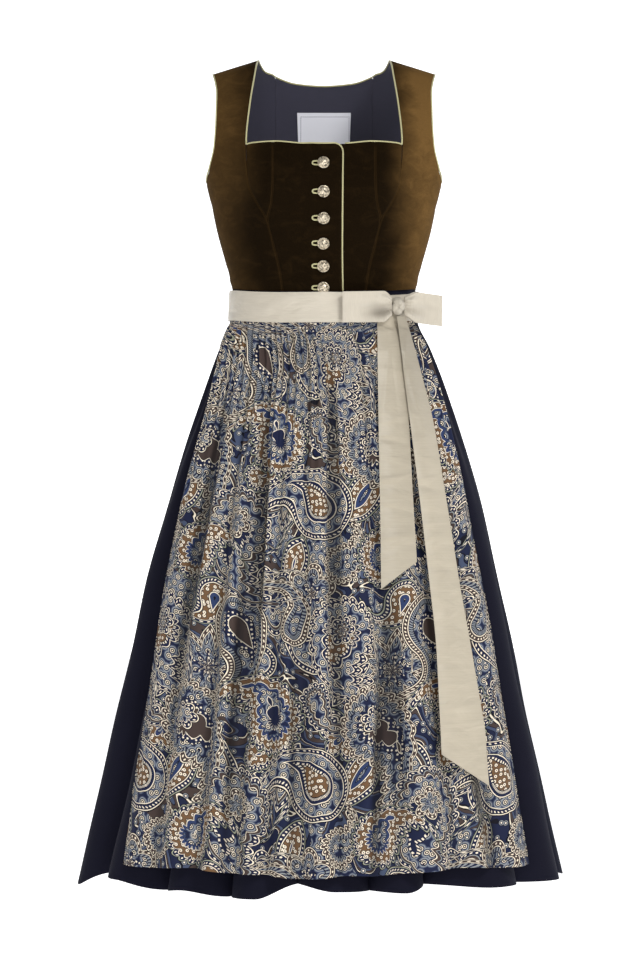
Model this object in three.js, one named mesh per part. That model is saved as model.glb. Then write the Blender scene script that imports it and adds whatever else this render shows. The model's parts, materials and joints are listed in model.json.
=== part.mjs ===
// A dirndl, the Alpine folk dress: a buttoned velvet bodice with silver buttons, a gathered skirt and a
// printed apron whose ties end in a bow. It keeps the hollow form that it has when it is worn.
// Millimetres, +Z up. The front faces -Y and the wearer's left is +X. The origin lies midway between the
// shoulders, at the height where the straps rest on them.
import * as THREE from "three";

const { clamp, lerp, smoothstep, degToRad } = THREE.MathUtils;

// Driving sizes
const BODICE_LENGTH = 300;
const SKIRT_LENGTH = 790;
const BAND_HEIGHT = 40;
const APRON_LENGTH = 720;
const VELVET = 1.5;
const LINING = 0.8;
const SKIRT_CLOTH = 1.2;
const APRON_CLOTH = 1.2;
const SATIN = 1.2;
const SEAM_GAP = 0.4;
const LAYER_GAP = 0.4;

const MATERIALS = {
  velvet: new THREE.MeshStandardMaterial({ color: 0x3a2a10, roughness: 0.85 }),
  lining: new THREE.MeshStandardMaterial({ color: 0x33313f, roughness: 0.8 }),
  label: new THREE.MeshStandardMaterial({ color: 0xb7b5bd, roughness: 0.7 }),
  piping: new THREE.MeshStandardMaterial({ color: 0xc9c39a, roughness: 0.6 }),
  silver: new THREE.MeshStandardMaterial({ color: 0xcfc6b6, roughness: 0.35, metalness: 0.9 }),
  skirt: new THREE.MeshStandardMaterial({ color: 0x1d1d2c, roughness: 0.85 }),
  print: new THREE.MeshStandardMaterial({ color: 0x5f6b80, roughness: 0.6 }),
  satin: new THREE.MeshStandardMaterial({ color: 0xd3cab8, roughness: 0.45 }),
};

// A smooth curve through one column of a table, against the rows' `at`, with no overshoot between rows.
function curve(rows, column, flatStart = false) {
  const at = rows.map((row) => row.at);
  const value = rows.map((row) => row[column]);
  const rise = at.slice(1).map((end, i) => (value[i + 1] - value[i]) / (end - at[i]));
  const slope = at.map((_, i) => {
    const before = rise[Math.max(i - 1, 0)];
    const after = rise[Math.min(i, rise.length - 1)];
    return before * after > 0 ? (2 * before * after) / (before + after) : 0;
  });
  if (flatStart) slope[0] = 0;
  return (where) => {
    const x = clamp(where, at[0], at[at.length - 1]);
    const i = clamp(at.findLastIndex((start) => start <= x), 0, rise.length - 1);
    const step = at[i + 1] - at[i];
    const t = (x - at[i]) / step;
    const blend = t * t * (3 - 2 * t);
    const bend = t * (1 - t) * (1 - t) * slope[i] - t * t * (1 - t) * slope[i + 1];
    return lerp(value[i], value[i + 1], blend) + step * bend;
  };
}

// The unit normal of a surface at u, v, on the side that is turned away from the Z axis or, on a loop, to the left.
function normalOf(surface, u, v, step = 1e-3) {
  const along = surface(u + step, v).sub(surface(u - step, v));
  const up = surface(u, v + step).sub(surface(u, v - step));
  return along.cross(up).normalize();
}

// Points of a surface with their normals, one row for each v and one column for each u.
function gridOf(surface, us, vs, facing = 1) {
  return vs.map((v) =>
    us.map((u) => ({ point: surface(u, v), normal: normalOf(surface, u, v).multiplyScalar(facing) })),
  );
}

// A closed wall on a grid: its outer face lies `lift` outside the grid's points and it is `thickness` thick.
function wallOf(grid, thickness, lift = () => 0) {
  const rows = grid.length;
  const columns = grid[0].length;
  const face = (depth) =>
    grid.flatMap((row, r) =>
      row.map(({ point, normal }, c) => point.clone().addScaledVector(normal, lift(r, c, point) - depth)),
    );
  const points = [...face(0), ...face(thickness)];
  const inside = rows * columns;
  const index = [];
  const quad = (a, b, c, d) => index.push(a, b, c, a, c, d);
  for (let r = 0; r < rows - 1; r++) {
    for (let c = 0; c < columns - 1; c++) {
      const a = r * columns + c;
      quad(a, a + 1, a + columns + 1, a + columns);
      quad(inside + a, inside + a + columns, inside + a + columns + 1, inside + a + 1);
    }
  }
  const rim = [
    ...Array.from({ length: columns - 1 }, (_, c) => c),
    ...Array.from({ length: rows - 1 }, (_, r) => r * columns + columns - 1),
    ...Array.from({ length: columns - 1 }, (_, c) => rows * columns - 1 - c),
    ...Array.from({ length: rows - 1 }, (_, r) => (rows - 1 - r) * columns),
  ];
  rim.forEach((start, i) => {
    const end = rim[(i + 1) % rim.length];
    quad(start, inside + start, inside + end, end);
  });
  return solidOf(points, index);
}

// A buffer geometry from points and triangles, turned so that its faces point out.
function solidOf(points, index) {
  let volume = 0;
  for (let i = 0; i < index.length; i += 3) {
    const [a, b, c] = [0, 1, 2].map((k) => points[index[i + k]]);
    volume += a.clone().cross(b).dot(c);
  }
  if (volume < 0) index.reverse();
  const geometry = new THREE.BufferGeometry().setFromPoints(points);
  geometry.setIndex(index);
  geometry.computeVertexNormals();
  return geometry;
}

const dirndl = new THREE.Group();
dirndl.name = "dirndl";

function add(name, geometry, material) {
  const mesh = new THREE.Mesh(geometry, material);
  mesh.name = name;
  dirndl.add(mesh);
  return mesh;
}

const shares = (count) => Array.from({ length: count + 1 }, (_, i) => i / count);

// The body of the bodice. Each section is a level from 0 on the shoulder line to 9 at the waist seam: its drop below
// the shoulder line, half its width, its depth in front of and behind the side seams, and how much it slopes.
const SECTIONS = [
  { at: 0, drop: 0, half: 190, front: 0, back: 0, slope: 1 },
  { at: 1, drop: 6, half: 189, front: 26, back: 28, slope: 1 },
  { at: 2, drop: 24, half: 186, front: 52, back: 54, slope: 0.9 },
  { at: 3, drop: 62, half: 179, front: 84, back: 80, slope: 0.5 },
  { at: 4, drop: 113, half: 168, front: 110, back: 97, slope: 0 },
  { at: 5, drop: 163, half: 156, front: 119, back: 101, slope: 0 },
  { at: 6, drop: 205, half: 143, front: 114, back: 98, slope: 0 },
  { at: 7, drop: 245, half: 132, front: 102, back: 92, slope: 0 },
  { at: 8, drop: 275, half: 126, front: 94, back: 88, slope: 0 },
  { at: 9, drop: BODICE_LENGTH, half: 122, front: 91, back: 86, slope: 0 },
];
const WAIST = 9;
const UNDERARM = 5;
const NECKLINE = 4;
const BODY_SQUARENESS = 0.88;
const NECK_POINT = { across: 89, height: 7.5 };
const SHOULDER_SLOPE = 0.32;
const NAPE_ROUNDING = 30;
const BUST = { across: 70, drop: 172, halfWidth: 40, halfHeight: 52, fullness: 15 };

const body = {
  drop: curve(SECTIONS, "drop", true),
  half: curve(SECTIONS, "half", true),
  front: curve(SECTIONS, "front"),
  back: curve(SECTIONS, "back"),
  slope: curve(SECTIONS, "slope", true),
};

// How far the shoulder line lies above the origin at a distance from the middle.
function shoulderHeight(across) {
  const run = Math.hypot(across, NAPE_ROUNDING) - Math.hypot(NECK_POINT.across, NAPE_ROUNDING);
  return NECK_POINT.height - SHOULDER_SLOPE * run;
}

const bell = (distance, halfWidth) => Math.exp(-((distance / halfWidth) ** 2));

// A point of the body's outside: angle 0 is the middle and 90 degrees the side, on the front for a level above 0 and
// on the back for one below.
function bodyPoint(angle, level) {
  const at = Math.abs(level);
  const x = body.half(at) * Math.sin(angle);
  const z = body.slope(at) * shoulderHeight(x) - body.drop(at);
  const round = Math.sign(Math.cos(angle)) * Math.abs(Math.cos(angle)) ** BODY_SQUARENESS;
  if (level < 0) return new THREE.Vector3(x, body.back(at) * round, z);
  const bust = bell(Math.abs(x) - BUST.across, BUST.halfWidth) * bell(z + BUST.drop, BUST.halfHeight);
  return new THREE.Vector3(x, -body.front(at) * round - BUST.fullness * bust, z);
}

// The level at which the body has a height, at an angle, on the front (side 1) or back (side -1).
function levelAt(angle, height, side) {
  let [high, low] = [0, WAIST];
  for (let i = 0; i < 30; i++) {
    const middle = (high + low) / 2;
    if (bodyPoint(angle, side * middle).z > height) high = middle;
    else low = middle;
  }
  return low;
}

// A seam or edge as the angle at each level, from a table of its distance across from the middle.
function seam(rows) {
  const angles = rows.map(({ at, across }) => ({ at, angle: Math.asin(clamp(across / body.half(at), -1, 1)) }));
  return curve(angles, "angle");
}

const SEAMS = {
  sideSeam: () => Math.PI / 2,
  overlapEdge: seam([
    { at: 3, across: -23.5 },
    { at: 9, across: -23.5 },
  ]),
  underlapEdge: seam([
    { at: 3, across: -12 },
    { at: 9, across: -12 },
  ]),
  // Down over the bust to the waist.
  princess: seam([
    { at: 4, across: 104 },
    { at: 5, across: 100 },
    { at: 5.6, across: 88 },
    { at: 6.2, across: 73 },
    { at: 7, across: 65 },
    { at: 8, across: 58.5 },
    { at: 9, across: 55 },
  ]),
  // From the neckline straight down, until it meets the princess seam.
  bustSeam: seam([
    { at: 4, across: 67.5 },
    { at: 5, across: 67.5 },
    { at: 5.6, across: 69 },
    { at: 6.2, across: 73 },
    { at: 7, across: 65 },
    { at: 8, across: 58.5 },
    { at: 9, across: 55 },
  ]),
  // The princess seam again, and above it the strap's edge beside the neck.
  sideFrontInner: seam([
    { at: 0, across: 89 },
    { at: 1, across: 91 },
    { at: 2, across: 94 },
    { at: 3, across: 100 },
    { at: 4, across: 104 },
    { at: 5, across: 100 },
    { at: 5.6, across: 88 },
    { at: 6.2, across: 73 },
    { at: 7, across: 65 },
    { at: 8, across: 58.5 },
    { at: 9, across: 55 },
  ]),
  frontArmhole: seam([
    { at: 0, across: 148 },
    { at: 1, across: 146 },
    { at: 2, across: 142.5 },
    { at: 3, across: 142.5 },
    { at: 4, across: 145.5 },
    { at: 4.6, across: 153.5 },
    { at: 5, across: 156 },
    { at: 9, across: 122 },
  ]),
  backArmhole: seam([
    { at: 0, across: 148 },
    { at: 1, across: 145 },
    { at: 2, across: 141 },
    { at: 3, across: 139.5 },
    { at: 4, across: 143 },
    { at: 4.6, across: 152.5 },
    { at: 5, across: 156 },
    { at: 9, across: 122 },
  ]),
  // The back's curved seam, which runs out at the neckline and becomes the strap's edge.
  backPrincess: seam([
    { at: 0, across: 89 },
    { at: 0.5, across: 87.5 },
    { at: 1, across: 83 },
    { at: 1.4, across: 75 },
    { at: 1.8, across: 66 },
    { at: 2.5, across: 66 },
    { at: 4, across: 65 },
    { at: 5, across: 60 },
    { at: 6, across: 52 },
    { at: 7, across: 44 },
    { at: 9, across: 38 },
  ]),
};

// The neckline's height at each distance from the middle, over the bust and round the nape.
const OVERLAP = 23.5;
const OVERLAP_CORNER = 11;
const FRONT_NECKLINE = [
  { at: 0, height: -113 },
  { at: 30, height: -112 },
  { at: 65, height: -109 },
  { at: 95, height: -110.5 },
  { at: 105, height: -113 },
];
const BACK_NECKLINE = [
  { at: 0, height: -17 },
  { at: 37, height: -15 },
  { at: 65, height: -7.4 },
  { at: 89, height: 7.5 },
];
const frontNeckline = curve(FRONT_NECKLINE, "height", true);
const backNeckline = curve(BACK_NECKLINE, "height", true);

// The right front's neckline, with the overlap's corner rounded off.
function overlapNeckline(across) {
  const past = clamp(-across - (OVERLAP - OVERLAP_CORNER), 0, OVERLAP_CORNER);
  const fall = OVERLAP_CORNER - Math.sqrt(OVERLAP_CORNER ** 2 - past ** 2);
  return frontNeckline(Math.abs(across)) - fall;
}

const FRONT_LEVELS = [9, 8, 7, 6.2, 5.6, 5, 4.5, 4];
const CUP_LEVELS = [6, 5.6, 5, 4.5, 4];
const STRAP_LEVELS = [3.4, 2.8, 2.2, 1.6, 1, 0.5, 0];
const BACK_LEVELS = [9, 8, 7, 6, 5, 4, 3.2, 2.5, 1.8];
const BACK_STRAP_LEVELS = [1.4, 1, 0.5, 0];

// One cut piece of the bodice as a grid. `across` runs from the seam nearer the middle to the outer one, and
// `neckline`, where there is one, gives the height of its top edge.
function bodicePanel({ side, front, inner, outer, levels, columns, neckline }) {
  const facing = front ? 1 : -1;
  const bottom = levels[0];
  const last = levels[levels.length - 1];
  return levels.map((tabled) =>
    columns.map((share) => {
      const edge = (level) => {
        const trim = SEAM_GAP / 2 / body.half(level);
        return lerp(inner(level) + trim, outer(level) - trim, share);
      };
      const shoulderTrim = last === 0 ? SEAM_GAP / 40 : 0;
      let top = last + shoulderTrim;
      if (neckline) {
        const angle = edge(last);
        top = levelAt(angle, neckline(body.half(last) * Math.sin(angle)), facing);
      }
      const level = bottom - ((bottom - tabled) * (bottom - top)) / (bottom - last);
      const surface = (u, v) => bodyPoint(side * u, facing * v);
      return {
        point: surface(edge(level), level),
        normal: normalOf(surface, edge(level), level).multiplyScalar(-side * facing),
      };
    }),
  );
}

// The two fronts overlap: the right one is lifted by its own thickness where it lies on the left.
const OVERLAP_LIFT = VELVET + 2 * LAYER_GAP + 0.3;
const LIFT_FROM = 30;
const overlapLift = (r, c, point) => OVERLAP_LIFT * smoothstep(point.x, -LIFT_FROM, -LIFT_FROM / 2 + 1);

// More columns near the overlap's rounded corner.
const OVERLAP_COLUMNS = [0, 0.035, 0.08, 0.14, 0.26, 0.44, 0.63, 0.82, 1];
const PLAIN_COLUMNS = shares(7);
const RIGHT = -1;
const LEFT = 1;
const WEARER = [
  { name: "right", side: RIGHT },
  { name: "left", side: LEFT },
];

const panels = {};
for (const { name, side } of WEARER) {
  const over = side === RIGHT;
  panels[`front_${name}`] = bodicePanel({
    side,
    front: true,
    inner: over ? SEAMS.overlapEdge : SEAMS.underlapEdge,
    outer: SEAMS.bustSeam,
    levels: FRONT_LEVELS,
    columns: over ? OVERLAP_COLUMNS : PLAIN_COLUMNS,
    neckline: over ? overlapNeckline : (across) => frontNeckline(Math.abs(across)),
  });
  panels[`cup_${name}`] = bodicePanel({
    side,
    front: true,
    inner: SEAMS.bustSeam,
    outer: SEAMS.princess,
    levels: CUP_LEVELS,
    columns: shares(3),
    neckline: frontNeckline,
  });
  panels[`side_front_${name}`] = bodicePanel({
    side,
    front: true,
    inner: SEAMS.sideFrontInner,
    outer: SEAMS.frontArmhole,
    levels: [...FRONT_LEVELS, ...STRAP_LEVELS],
    columns: shares(7),
  });
  panels[`side_back_${name}`] = bodicePanel({
    side,
    front: false,
    inner: SEAMS.backPrincess,
    outer: SEAMS.backArmhole,
    levels: [...BACK_LEVELS, ...BACK_STRAP_LEVELS],
    columns: shares(7),
  });
}
panels.centre_back = bodicePanel({
  side: LEFT,
  front: false,
  inner: (level) => -SEAMS.backPrincess(level),
  outer: SEAMS.backPrincess,
  levels: BACK_LEVELS,
  columns: shares(10),
  neckline: (across) => backNeckline(Math.abs(across)),
});

for (const [name, grid] of Object.entries(panels)) {
  const lift = name === "front_right" ? overlapLift : undefined;
  add(name, wallOf(grid, VELVET, lift), MATERIALS.velvet);
}

// The back is lined, and the lining shows through the neckline.
const LINING_DEPTH = VELVET + LAYER_GAP;
for (const name of ["centre_back", "side_back_right", "side_back_left"]) {
  add(`lining_${name}`, wallOf(panels[name], LINING, () => -LINING_DEPTH), MATERIALS.lining);
}

// A plain woven label on the lining, below the nape.
const LABEL = { width: 74, top: -55, bottom: -101, thickness: 0.6, ease: 0.9 };
const labelDepth = LINING_DEPTH + LINING + LABEL.ease;
const labelRows = [LABEL.bottom, (LABEL.bottom + LABEL.top) / 2, LABEL.top];
const labelGrid = labelRows.map((height) =>
  shares(6).map((share) => {
    const angle = Math.asin(lerp(-LABEL.width / 2, LABEL.width / 2, share) / body.half(3));
    const level = levelAt(angle, height, -1);
    const surface = (u, v) => bodyPoint(u, -v);
    return { point: surface(angle, level), normal: normalOf(surface, angle, level) };
  }),
);
add("label", wallOf(labelGrid, LABEL.thickness, () => -labelDepth), MATERIALS.label);

// Piping: a covered cord along an edge, made from the panels' own edge points.
const PIPING_RADIUS = 1.2;
const PIPING_SIDES = 6;
const SAME_PLACE = 2.5;

const column = (grid, c, from = 0) => {
  const beside = c === 0 ? 1 : c - 1;
  return grid.slice(from).map((row) => ({ ...row[c], within: row[beside].point }));
};
const topRow = (grid) => grid[grid.length - 1].map((edge, c) => ({ ...edge, within: grid[grid.length - 2][c].point }));
const lifted = (edges, lift) =>
  edges.map((edge) => ({
    ...edge,
    point: edge.point.clone().addScaledVector(edge.normal, lift(0, 0, edge.point)),
  }));

function piping(edges) {
  const path = edges.filter(
    (edge, i) => i === 0 || edge.point.distanceTo(edges[i - 1].point) > SAME_PLACE || i === edges.length - 1,
  );
  const rings = path.map((edge, i) => {
    const before = path[Math.max(i - 1, 0)].point;
    const after = path[Math.min(i + 1, path.length - 1)].point;
    const arriving = edge.point.clone().sub(before).normalize();
    const leaving = after.clone().sub(edge.point).normalize();
    const tangent = arriving.clone().add(leaving).normalize();
    const out = tangent.clone().cross(edge.normal).normalize();
    if (out.dot(edge.point.clone().sub(edge.within)) < 0) out.negate();
    const turn = Math.max(tangent.dot(leaving), tangent.dot(arriving), 0.6);
    const middle = edge.point
      .clone()
      .addScaledVector(out, (PIPING_RADIUS + LAYER_GAP) / turn)
      .addScaledVector(edge.normal, -VELVET / 2);
    return Array.from({ length: PIPING_SIDES }, (_, k) => {
      const turned = (2 * Math.PI * k) / PIPING_SIDES;
      return middle
        .clone()
        .addScaledVector(edge.normal, PIPING_RADIUS * Math.cos(turned))
        .addScaledVector(out, PIPING_RADIUS * Math.sin(turned));
    });
  });
  return tubeOf(rings);
}

// A closed tube through rings of as many points each, with a flat fan at either end.
function tubeOf(rings) {
  const sides = rings[0].length;
  const points = rings.flat();
  const index = [];
  rings.slice(1).forEach((_, r) => {
    for (let k = 0; k < sides; k++) {
      const a = r * sides + k;
      const b = r * sides + ((k + 1) % sides);
      index.push(a, b, b + sides, a, b + sides, a + sides);
    }
  });
  const end = (rings.length - 1) * sides;
  for (let k = 1; k < sides - 1; k++) {
    index.push(0, k + 1, k, end, end + k, end + k + 1);
  }
  return solidOf(points, index);
}

const neckFrom = FRONT_LEVELS.indexOf(NECKLINE);
const backNeckFrom = BACK_LEVELS.length - 1;
const overlapEdge = lifted(column(panels.front_right, 0), overlapLift);
const rightNeckline = lifted(topRow(panels.front_right), overlapLift);
add(
  "piping_front_right",
  piping([
    ...overlapEdge,
    ...rightNeckline,
    ...topRow(panels.cup_right),
    ...column(panels.side_front_right, 0, neckFrom),
  ]),
  MATERIALS.piping,
);
const clearOfOverlap = ({ point }) => point.x > OVERLAP + 2 * PIPING_RADIUS + 1;
add(
  "piping_front_left",
  piping([
    ...topRow(panels.front_left).filter(clearOfOverlap),
    ...topRow(panels.cup_left),
    ...column(panels.side_front_left, 0, neckFrom),
  ]),
  MATERIALS.piping,
);
add(
  "piping_back",
  piping([
    ...column(panels.side_back_right, 0, backNeckFrom).reverse(),
    ...topRow(panels.centre_back),
    ...column(panels.side_back_left, 0, backNeckFrom),
  ]),
  MATERIALS.piping,
);
for (const { name } of WEARER) {
  const front = panels[`side_front_${name}`];
  const back = panels[`side_back_${name}`];
  const outermost = front[0].length - 1;
  const frontFrom = FRONT_LEVELS.indexOf(UNDERARM);
  const backFrom = BACK_LEVELS.indexOf(UNDERARM);
  add(
    `piping_armhole_${name}`,
    piping([...column(front, outermost, frontFrom).reverse(), ...column(back, outermost, backFrom).slice(1)]),
    MATERIALS.piping,
  );
}

// Six domed buttons on shanks, each over the end of a bound buttonhole.
const BUTTON_DROPS = [137, 174, 208, 240, 267, 289];
const BUTTON = { radius: 8, rim: 2.4, crown: 6.2, shank: 0.9, standoff: 2.2 };
const BUTTONHOLE = { length: 20, height: 7, slit: 2.8, depth: 1.1, standoff: 0.7, shift: -6.5 };
const BUTTON_ACROSS = -1;

// The frame in which Z leaves the front's cloth and X runs along the buttonhole.
function frontFrame(across, height) {
  const angle = Math.asin(across / body.half(NECKLINE));
  const level = levelAt(angle, height, 1);
  const surface = (u, v) => bodyPoint(u, v);
  const out = normalOf(surface, angle, level).negate();
  const along = new THREE.Vector3(1, 0, 0).addScaledVector(out, -out.x).normalize();
  const place = surface(angle, level).addScaledVector(out, OVERLAP_LIFT);
  return new THREE.Matrix4().makeBasis(along, out.clone().cross(along), out).setPosition(place);
}

function buttonShape() {
  const { radius, rim, crown, shank, standoff } = BUTTON;
  const base = standoff;
  const profile = [
    [0, LAYER_GAP],
    [shank, LAYER_GAP],
    [shank, base],
    [radius - 0.8, base],
    [radius, base + rim / 2],
    [radius * 0.86, base + rim],
    [radius * 0.5, crown],
    [0, crown + 0.8],
  ].map(([r, h]) => new THREE.Vector2(r, h));
  return new THREE.LatheGeometry(profile, 12).rotateX(Math.PI / 2);
}

function buttonholeShape() {
  const { length, height, slit, depth, standoff, shift } = BUTTONHOLE;
  const rectangle = (path, long, high) => {
    path.moveTo(-long / 2, -high / 2);
    path.lineTo(long / 2, -high / 2);
    path.lineTo(long / 2, high / 2);
    path.lineTo(-long / 2, high / 2);
    path.closePath();
    return path;
  };
  const lips = rectangle(new THREE.Shape(), length, height);
  lips.holes.push(rectangle(new THREE.Path(), length - height + slit, slit));
  const shape = new THREE.ExtrudeGeometry(lips, { depth, bevelEnabled: false });
  return shape.translate(shift, 0, standoff);
}

BUTTON_DROPS.forEach((drop, i) => {
  const frame = frontFrame(BUTTON_ACROSS, -drop);
  add(`button_${i + 1}`, buttonShape().applyMatrix4(frame), MATERIALS.silver);
  add(`buttonhole_${i + 1}`, buttonholeShape().applyMatrix4(frame), MATERIALS.piping);
});

// The skirt. Each row is a drop below the waist seam: how far the folds' crests reach to the side, front and back,
// how deep the folds are, and how much of them is still the fine gathers of the waist.
const SKIRT_ROWS = [
  { at: 0, side: 121.8, front: 90.8, back: 86, depth: 1, gathers: 1 },
  { at: 42, side: 124.5, front: 93, back: 90, depth: 1.4, gathers: 1 },
  { at: 78, side: 140, front: 105, back: 108, depth: 6, gathers: 0.85 },
  { at: 149, side: 165, front: 124, back: 138, depth: 11, gathers: 0.5 },
  { at: 250, side: 197, front: 150, back: 170, depth: 18, gathers: 0.15 },
  { at: 400, side: 239, front: 181, back: 202, depth: 27, gathers: 0 },
  { at: 580, side: 280, front: 214, back: 232, depth: 36, gathers: 0 },
  { at: SKIRT_LENGTH, side: 326, front: 252, back: 264, depth: 46, gathers: 0 },
];
const skirt = {
  side: curve(SKIRT_ROWS, "side"),
  front: curve(SKIRT_ROWS, "front"),
  back: curve(SKIRT_ROWS, "back"),
  depth: curve(SKIRT_ROWS, "depth"),
  gathers: curve(SKIRT_ROWS, "gathers"),
};

// Where one fold ends and the next begins, in degrees round from the middle of the front, and how full each is.
const SKIRT_FOLDS = [
  { from: -90, fullness: 1 },
  { from: -66, fullness: 1 },
  { from: -44, fullness: 0.9 },
  { from: -25, fullness: 1 },
  { from: -7, fullness: 0.75 },
  { from: 12, fullness: 0.9 },
  { from: 27, fullness: 1 },
  { from: 60, fullness: 0.9 },
  { from: 90, fullness: 1 },
  { from: 111, fullness: 0.85 },
  { from: 133, fullness: 1 },
  { from: 155, fullness: 0.9 },
  { from: 180, fullness: 1 },
  { from: 203, fullness: 0.85 },
  { from: 227, fullness: 1 },
  { from: 248, fullness: 0.9 },
  { from: 270, fullness: 1 },
];
const COLUMNS_PER_FOLD = 8;
const GATHERS_PER_FOLD = 2;
const CREST_ROUNDNESS = 0.7;

// How far out the cloth stands in a fold, from 0 in its valley to 1 on its crest, at a share of its width.
const crest = (share) => Math.abs(Math.sin(Math.PI * share)) ** CREST_ROUNDNESS;
const swell = (share) => Math.sin(Math.PI * share) ** 2;
const gather = (share, count) => 0.5 - 0.5 * Math.cos(2 * Math.PI * count * share);

// A point on the oval of a drop below the waist, a distance outside the folds' crests.
function ovalPoint(angle, drop, out) {
  const ahead = Math.cos(angle) > 0;
  const reach = ahead ? skirt.front(drop) : skirt.back(drop);
  return new THREE.Vector3(
    (skirt.side(drop) + out) * Math.sin(angle),
    -(reach + out) * Math.cos(angle),
    -BODICE_LENGTH - drop,
  );
}

// `turn` counts folds: its whole part is the fold and the rest the share of that fold's width.
function skirtPoint(turn, drop) {
  const fold = clamp(Math.floor(turn), 0, SKIRT_FOLDS.length - 2);
  const share = turn - fold;
  const angle = degToRad(lerp(SKIRT_FOLDS[fold].from, SKIRT_FOLDS[fold + 1].from, share));
  const fine = skirt.gathers(drop);
  const form = lerp(SKIRT_FOLDS[fold].fullness * crest(share), gather(share, GATHERS_PER_FOLD), fine);
  return ovalPoint(angle, drop, -skirt.depth(drop) * (1 - form));
}

const SKIRT_PANELS = [
  { name: "skirt_front_right", from: 0, to: 4 },
  { name: "skirt_front_left", from: 4, to: 8 },
  { name: "skirt_back_left", from: 8, to: 12 },
  { name: "skirt_back_right", from: 12, to: 16 },
];
const SKIRT_DROPS = [SEAM_GAP, 42, 62, 92, 149, 250, 400, 580, SKIRT_LENGTH];
const FOLD_TRIM = 0.006;
for (const { name, from, to } of SKIRT_PANELS) {
  const turns = shares((to - from) * COLUMNS_PER_FOLD).map((share) =>
    lerp(from + FOLD_TRIM, to - FOLD_TRIM, share),
  );
  const grid = gridOf(skirtPoint, turns, SKIRT_DROPS, -1);
  add(name, wallOf(grid, SKIRT_CLOTH), MATERIALS.skirt);
}

// The apron lies on the skirt's crests. Its edges, in degrees from the middle, and its own folds at each drop below
// the band.
const APRON_TOP = BAND_HEIGHT - 3;
const APRON_ROWS = [
  { at: 0, left: -85, right: 72, depth: 0.8, gathers: 1 },
  { at: 5, left: -83, right: 71, depth: 0.8, gathers: 1 },
  { at: 16, left: -79, right: 70, depth: 4.5, gathers: 1 },
  { at: 60, left: -69, right: 67, depth: 8, gathers: 0.75 },
  { at: 130, left: -65, right: 64, depth: 11, gathers: 0.4 },
  { at: 240, left: -62, right: 61, depth: 14, gathers: 0.1 },
  { at: 400, left: -59.5, right: 60, depth: 17, gathers: 0 },
  { at: APRON_LENGTH, left: -55, right: 56, depth: 22, gathers: 0 },
];
const apron = {
  left: curve(APRON_ROWS, "left"),
  right: curve(APRON_ROWS, "right"),
  depth: curve(APRON_ROWS, "depth"),
  gathers: curve(APRON_ROWS, "gathers"),
};

// Where each fold starts, as a share of the apron's width, how full it is and how far down it runs to nothing.
const APRON_FOLDS = [
  { from: 0, fullness: 0.35 },
  { from: 0.11, fullness: 0.7 },
  { from: 0.22, fullness: 0.9 },
  { from: 0.31, fullness: 0.6 },
  { from: 0.375, fullness: 0.8 },
  { from: 0.45, fullness: 0.7 },
  { from: 0.53, fullness: 1 },
  { from: 0.65, fullness: 0.85 },
  { from: 0.78, fullness: 0.7 },
  { from: 0.89, fullness: 0.4 },
  { from: 1, fullness: 0 },
];
const APRON_GATHERS_PER_FOLD = 3;
const APRON_COLUMNS_PER_FOLD = 12;
const APRON_OVER_SKIRT = APRON_CLOTH + 0.6;

function apronPoint(turn, drop) {
  const fold = clamp(Math.floor(turn), 0, APRON_FOLDS.length - 2);
  const share = turn - fold;
  const width = lerp(APRON_FOLDS[fold].from, APRON_FOLDS[fold + 1].from, share);
  const angle = degToRad(lerp(apron.left(drop), apron.right(drop), width));
  const form = lerp(
    APRON_FOLDS[fold].fullness * swell(share),
    gather(share, APRON_GATHERS_PER_FOLD),
    apron.gathers(drop),
  );
  return ovalPoint(angle, APRON_TOP + drop, APRON_OVER_SKIRT + apron.depth(drop) * form);
}

const APRON_DROPS = [
  0,
  ...SKIRT_DROPS.map((drop) => drop - APRON_TOP).filter((drop) => drop > 0 && drop < APRON_LENGTH),
  APRON_LENGTH,
];
const apronTurns = shares((APRON_FOLDS.length - 1) * APRON_COLUMNS_PER_FOLD).map((share) => share * 10);
add("apron", wallOf(gridOf(apronPoint, apronTurns, APRON_DROPS, -1), APRON_CLOTH), MATERIALS.print);

// The waistband, sewn to the apron's gathers, and the tie that runs on from it round the back.
const BAND_OUT = APRON_OVER_SKIRT + 0.8 + LAYER_GAP + SATIN + 0.6;
const BAND_TOP = 1.5;
const bandPoint = (turned, drop) => ovalPoint(degToRad(turned), drop, BAND_OUT);
const BAND_PIECES = [
  { name: "waistband", from: -86, to: 73.7, steps: 20 },
  { name: "tie_round_back", from: 74, to: 273.7, steps: 26 },
];
for (const { name, from, to, steps } of BAND_PIECES) {
  const turns = shares(steps).map((share) => lerp(from, to, share));
  const grid = gridOf(bandPoint, turns, [BAND_TOP, BAND_HEIGHT / 2, BAND_HEIGHT + BAND_TOP], -1);
  add(name, wallOf(grid, SATIN), MATERIALS.satin);
}

// The bow, at the wearer's left of the front. The knot rests on the waistband.
const KNOT = { turned: 46.5, drop: 21, across: 11, out: 8.5, high: 13, groove: 0.09 };
const BAND_REST = BAND_OUT + LAYER_GAP;
const onBand = ovalPoint(degToRad(KNOT.turned), KNOT.drop, BAND_REST);
const awayFromBand = normalOf((u, v) => ovalPoint(u, v, BAND_REST), degToRad(KNOT.turned), KNOT.drop).negate();
const alongBand = new THREE.Vector3(-awayFromBand.y, awayFromBand.x, 0);
const knotMiddle = onBand.clone().addScaledVector(awayFromBand, KNOT.out * (1 - KNOT.groove));

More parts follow.
